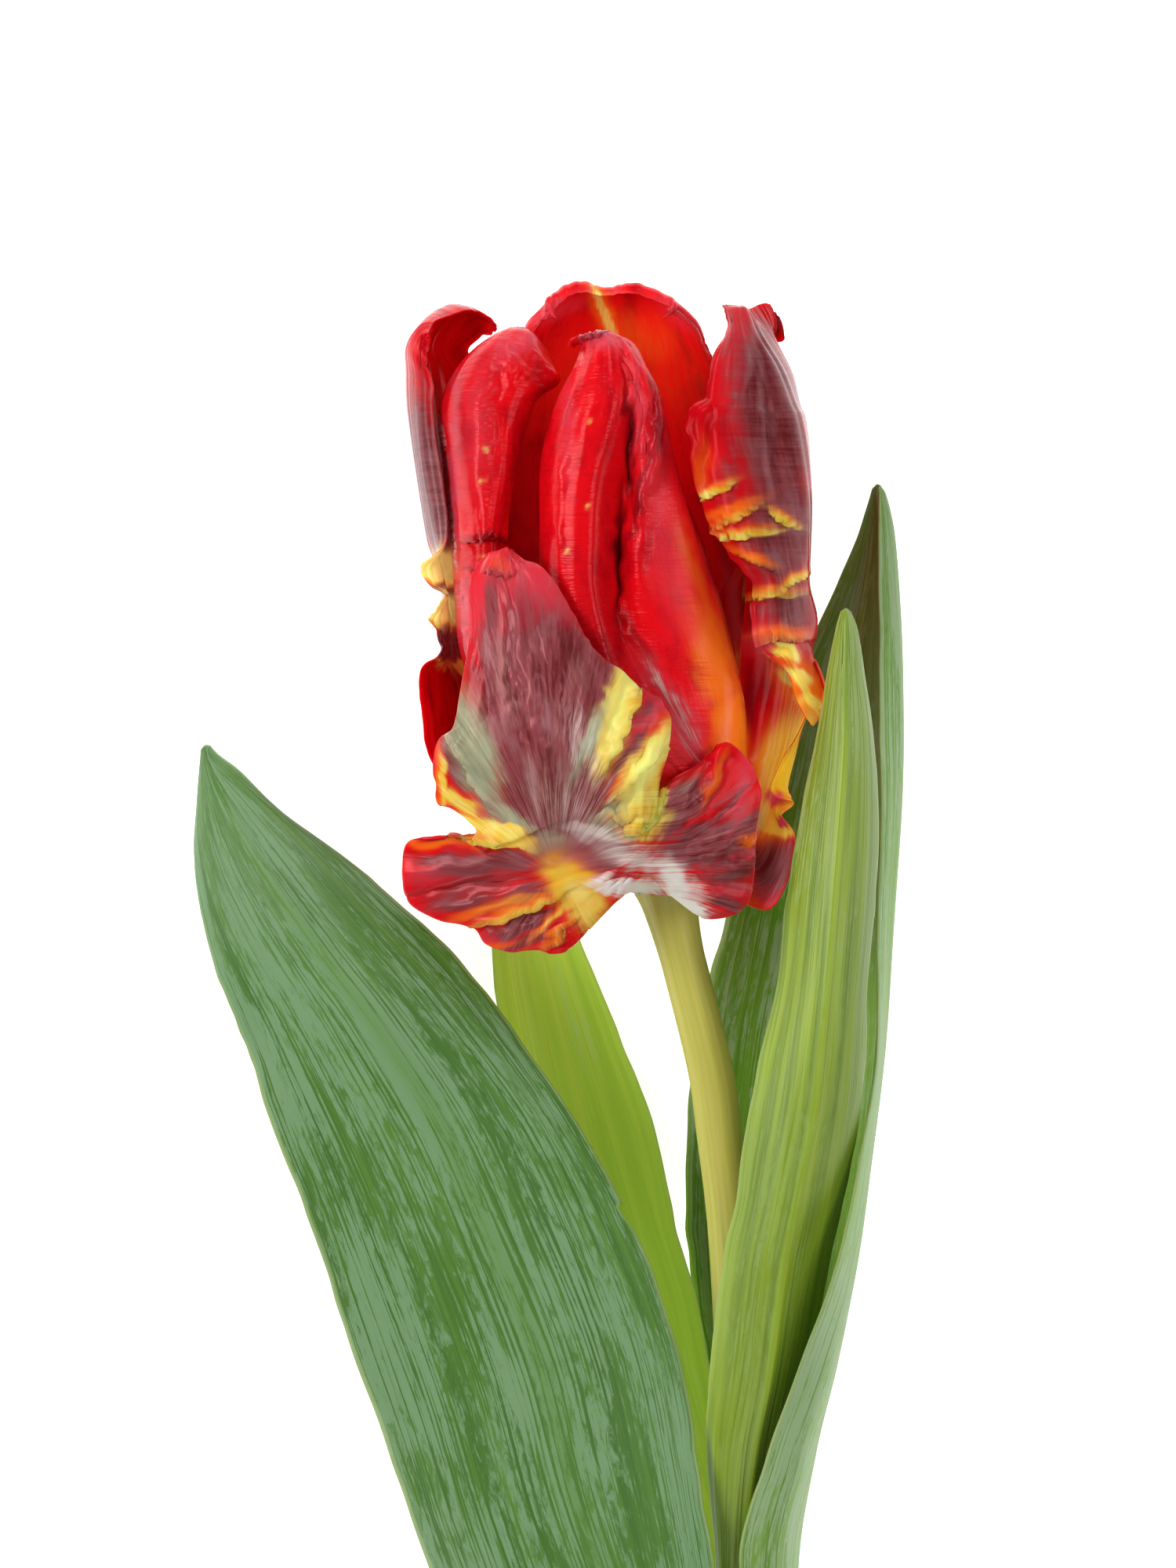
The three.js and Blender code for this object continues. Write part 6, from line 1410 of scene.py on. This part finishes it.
def tube(line, radii, sides, ridges, seed):
    """Points on rings round a line, in planes across y: radius * (1 + ridges * noise(angle)). Also gives
    pattern places: mm round the ring and mm along the line. They run up and down again, without a seam."""
    n = len(line)
    t = np.linspace(0, 2 * np.pi, sides, endpoint=False)
    noise = waver(24, 1, seed)
    ring = 1 + ridges * np.interp(t, np.linspace(0, 2 * np.pi, 25), np.append(noise, noise[0]))
    reach = radii[:, None] * ring[None]
    points = np.stack([line[:, :1] + reach * np.cos(t), np.repeat(line[:, 1:2], sides, 1),
                       line[:, 2:] + reach * np.sin(t)], -1)
    along = run(line[None], 1)[0]
    round_it = np.tile(np.abs(t - np.pi) * radii.mean(), (n, 1))
    return points, np.stack([round_it, np.repeat(along[:, None], sides, 1)], -1)


def closed_tube(line, radii, sides, sunk, ridges, seed):
    """A tube that is closed at both ends. Two smaller rings, 0.86 and 0.5 times as wide, lead in to a middle
    point, which is `sunk` mm inside the end."""
    points, flow = tube(line, radii, sides, ridges, seed)
    index = np.arange(len(line) * sides).reshape(-1, sides)
    all_points, all_flow, faces = [points.reshape(-1, 3)], [flow.reshape(-1, 2)], ring_faces(index).tolist()
    count = index.size
    for k, into, flip in ((0, line[1] - line[0], 1), (-1, line[-2] - line[-1], -1)):
        middle, depth = points[k].mean(0), unit(into) * sunk
        all_points += [middle + (points[k] - middle) * f + depth * (1 - f) for f in (0.86, 0.5)]
        all_points.append((middle + depth)[None])
        all_flow += [flow[k], flow[k], np.zeros((1, 2))]
        outer, inner = count + np.arange(sides), count + sides + np.arange(sides)
        for a, b in ((index[k], outer), (outer, inner)):
            faces += np.stack([a, b, np.roll(b, -1), np.roll(a, -1)], 1)[:, ::flip].tolist()
        last = np.full(sides, count + 2 * sides)
        faces += np.stack([inner, last, np.roll(inner, -1)], 1)[:, ::flip].tolist()
        count += 2 * sides + 1
    return np.concatenate(all_points), faces, np.concatenate(all_flow)


def skin_material(name, light, deep, pale, scale, stretched, roughness, bump):
    """Two tones in streaks along the piece, `scale` of them in a mm, a bump that matches, and a third tone
    where the mesh is marked "pale". The pattern is drawn out along the piece by 1 / stretched."""
    material, shader, at = new_material(name)
    place = at.stretch(at.add("UVMap", uv_map="flow").outputs[0], scale, scale * stretched)
    band = at.noise(place, 4.0, 0.6)
    colour = at.mix(at.value("pale"), at.mix(at.step(band, 0.35, 0.68), light, deep), pale)
    at.link(colour, shader.inputs["Base Color"])
    at.link(at.plus(roughness, at.times(band, 0.15)), shader.inputs["Roughness"])
    relief = at.add("Bump", {"Height": band, "Strength": bump, "Distance": 0.2 * MM})
    at.link(relief.outputs[0], shader.inputs["Normal"])
    tissue(shader, 0.15, STEM_TISSUE, 1.5, 0.5)
    return material


print("two rings of 4 points make", len(ring_faces(np.arange(8).reshape(2, 4))), "faces")

# %% [markdown]
# ## Building the stem
# The line and the radii of the tube are those of the solid model. The underside is pressed flat where the
# stem lies on the table.

# %% Build the stem
stem_line = spline(STEM, 361)
points, faces, flow = closed_tube(stem_line[:, :3], stem_line[:, 3], 48, 0.4, 0.025, 5)
points = on_table(points)
stem_paint = skin_material(
    "stem_skin", light=(0.60, 0.53, 0.10, 1), deep=(0.50, 0.47, 0.07, 1), pale=(0.25, 0.37, 0.075, 1),
    scale=1.1, stretched=0.03, roughness=0.38, bump=0.3)
greener = ramp(-points[:, 1], 20, 150)  # mm below the bloom
new_piece("stalk", points, faces, stem_paint, "stem", flow, {"pale": greener})

# %% [markdown]
# ## Pistil
# Deep in the bloom a three-sided green ovary carries a pale three-lobed stigma. It is a profile: a list of
# heights and radii, swept round an axis. Blender's own lathe, the Screw modifier, makes round forms only.
# Here the lobes come from adding a cosine of three times the angle to the radius.

# %% Pistil
BASE = 2.8  # mm, height at which pistil and stamens stand on the stem
PISTIL_LENGTH, OVARY_RADIUS, STIGMA = 17, 2.1, 13.4  # mm, the last up to where the stigma begins


def profile_rings(heights, radii, lobes, sides, count):
    """Rings round the y axis: radius(h) * (1 + lobes(h) * cos 3t), with h on a smooth curve through the list.
    A fan round a middle point closes each end."""
    h, r, k = (spline(np.array(c, float)[:, None], count)[:, 0] for c in (heights, radii, lobes))
    t = np.linspace(0, 2 * np.pi, sides, endpoint=False)
    reach = r[:, None] * (1 + k[:, None] * np.cos(3 * t))
    points = np.stack([reach * np.cos(t), np.repeat(h[:, None], sides, 1), reach * np.sin(t)], -1)
    index = np.arange(count * sides).reshape(count, sides)
    following = np.roll(index, -1, axis=1)
    faces = np.stack([index[:-1], index[1:], following[1:], following[:-1]], -1).reshape(-1, 4).tolist()
    first = np.full(sides, count * sides)
    faces += np.stack([first, index[0], following[0]], 1).tolist()
    faces += np.stack([first + 1, following[-1], index[-1]], 1).tolist()
    ends = np.array([[0, h[0], 0], [0, h[-1] - 0.4, 0]])
    flow = np.stack([np.tile(np.abs(t - np.pi) * 2, (count, 1)), np.repeat(h[:, None], sides, 1)], -1)
    flow = np.concatenate([flow.reshape(-1, 2), ends[:, :2]])
    return np.concatenate([points.reshape(-1, 3), ends]), faces, flow


points, faces, flow = profile_rings(
    BASE + PISTIL_LENGTH * np.array([0, 0.06, 0.3, 0.62, 0.78, 0.82, 0.87, 0.93, 0.97, 1]),
    OVARY_RADIUS * np.array([0.8, 1, 1.12, 1.05, 0.82, 0.8, 1.2, 1.5, 1.4, 0.9]),
    [0.08, 0.08, 0.08, 0.08, 0.1, 0.16, 0.24, 0.3, 0.3, 0.3], 48, 61)
pistil_paint = skin_material(
    "pistil_skin", light=(0.30, 0.36, 0.08, 1), deep=(0.38, 0.42, 0.14, 1), pale=(0.74, 0.68, 0.38, 1),
    scale=1.2, stretched=0.2, roughness=0.4, bump=0.3)
stigma = ramp(points[:, 1], BASE + STIGMA, BASE + STIGMA + 1)
new_piece("ovary", points, faces, pistil_paint, "pistil", flow, {"pale": stigma})

# %% [markdown]
# ## Stamens
# Six stamens stand round the pistil. Each is a thin pale filament with a dark anther on top, which has a
# seam where it opens. One profile gives both. It leans outwards, and is turned to its place in the ring.

# %% Stamens
STAMEN_LENGTH, STAMEN_OUT = 19, 3.2  # mm, the last from the axis to the foot of a stamen
# Shares of the length, with the radius and the distance that the stamen leans outwards there, in mm
HEIGHTS = np.array([0, 0.25, 0.48, 0.52, 0.58, 0.75, 0.92, 1])
RADII = np.array([0.55, 0.5, 0.35, 0.8, 1, 1.05, 0.9, 0.4])
LEAN = np.array([0, 0.5, 1.2, 1.3, 1.5, 2.1, 2.5, 2.6])

stamen_paint = skin_material(
    "stamen_skin", light=(0.06, 0.012, 0.03, 1), deep=(0.10, 0.03, 0.05, 1), pale=(0.52, 0.40, 0.06, 1),
    scale=2.4, stretched=0.5, roughness=0.6, bump=0.6)
for k in range(6):
    points, faces, flow = profile_rings(BASE + STAMEN_LENGTH * HEIGHTS, RADII, 0 * RADII, 24, 49)
    height = (points[:, 1] - BASE) / STAMEN_LENGTH
    anther = ramp(height, 0.49, 0.54)
    seam = 1 - 0.22 * anther * np.exp(-((points[:, 2] / 0.3) ** 2)) * (points[:, 0] > 0)
    out = points[:, 0] * seam + STAMEN_OUT + np.interp(height, HEIGHTS, LEAN)
    side = points[:, 2] * (1 + 0.25 * anther)
    turn = np.radians(30 + 60 * k)
    points = np.stack([out * np.cos(turn) - side * np.sin(turn), points[:, 1],
                       out * np.sin(turn) + side * np.cos(turn)], 1)
    name = f"stamen_{k + 1}"
    new_piece(f"anther_{k + 1}", points, faces, stamen_paint, name, flow, {"pale": 1 - anther})

# %% [markdown] ## Size The dressed flower is built on the nets and the stem line of the solid model.
# Size The dressed flower has to keep the size of the solid model.
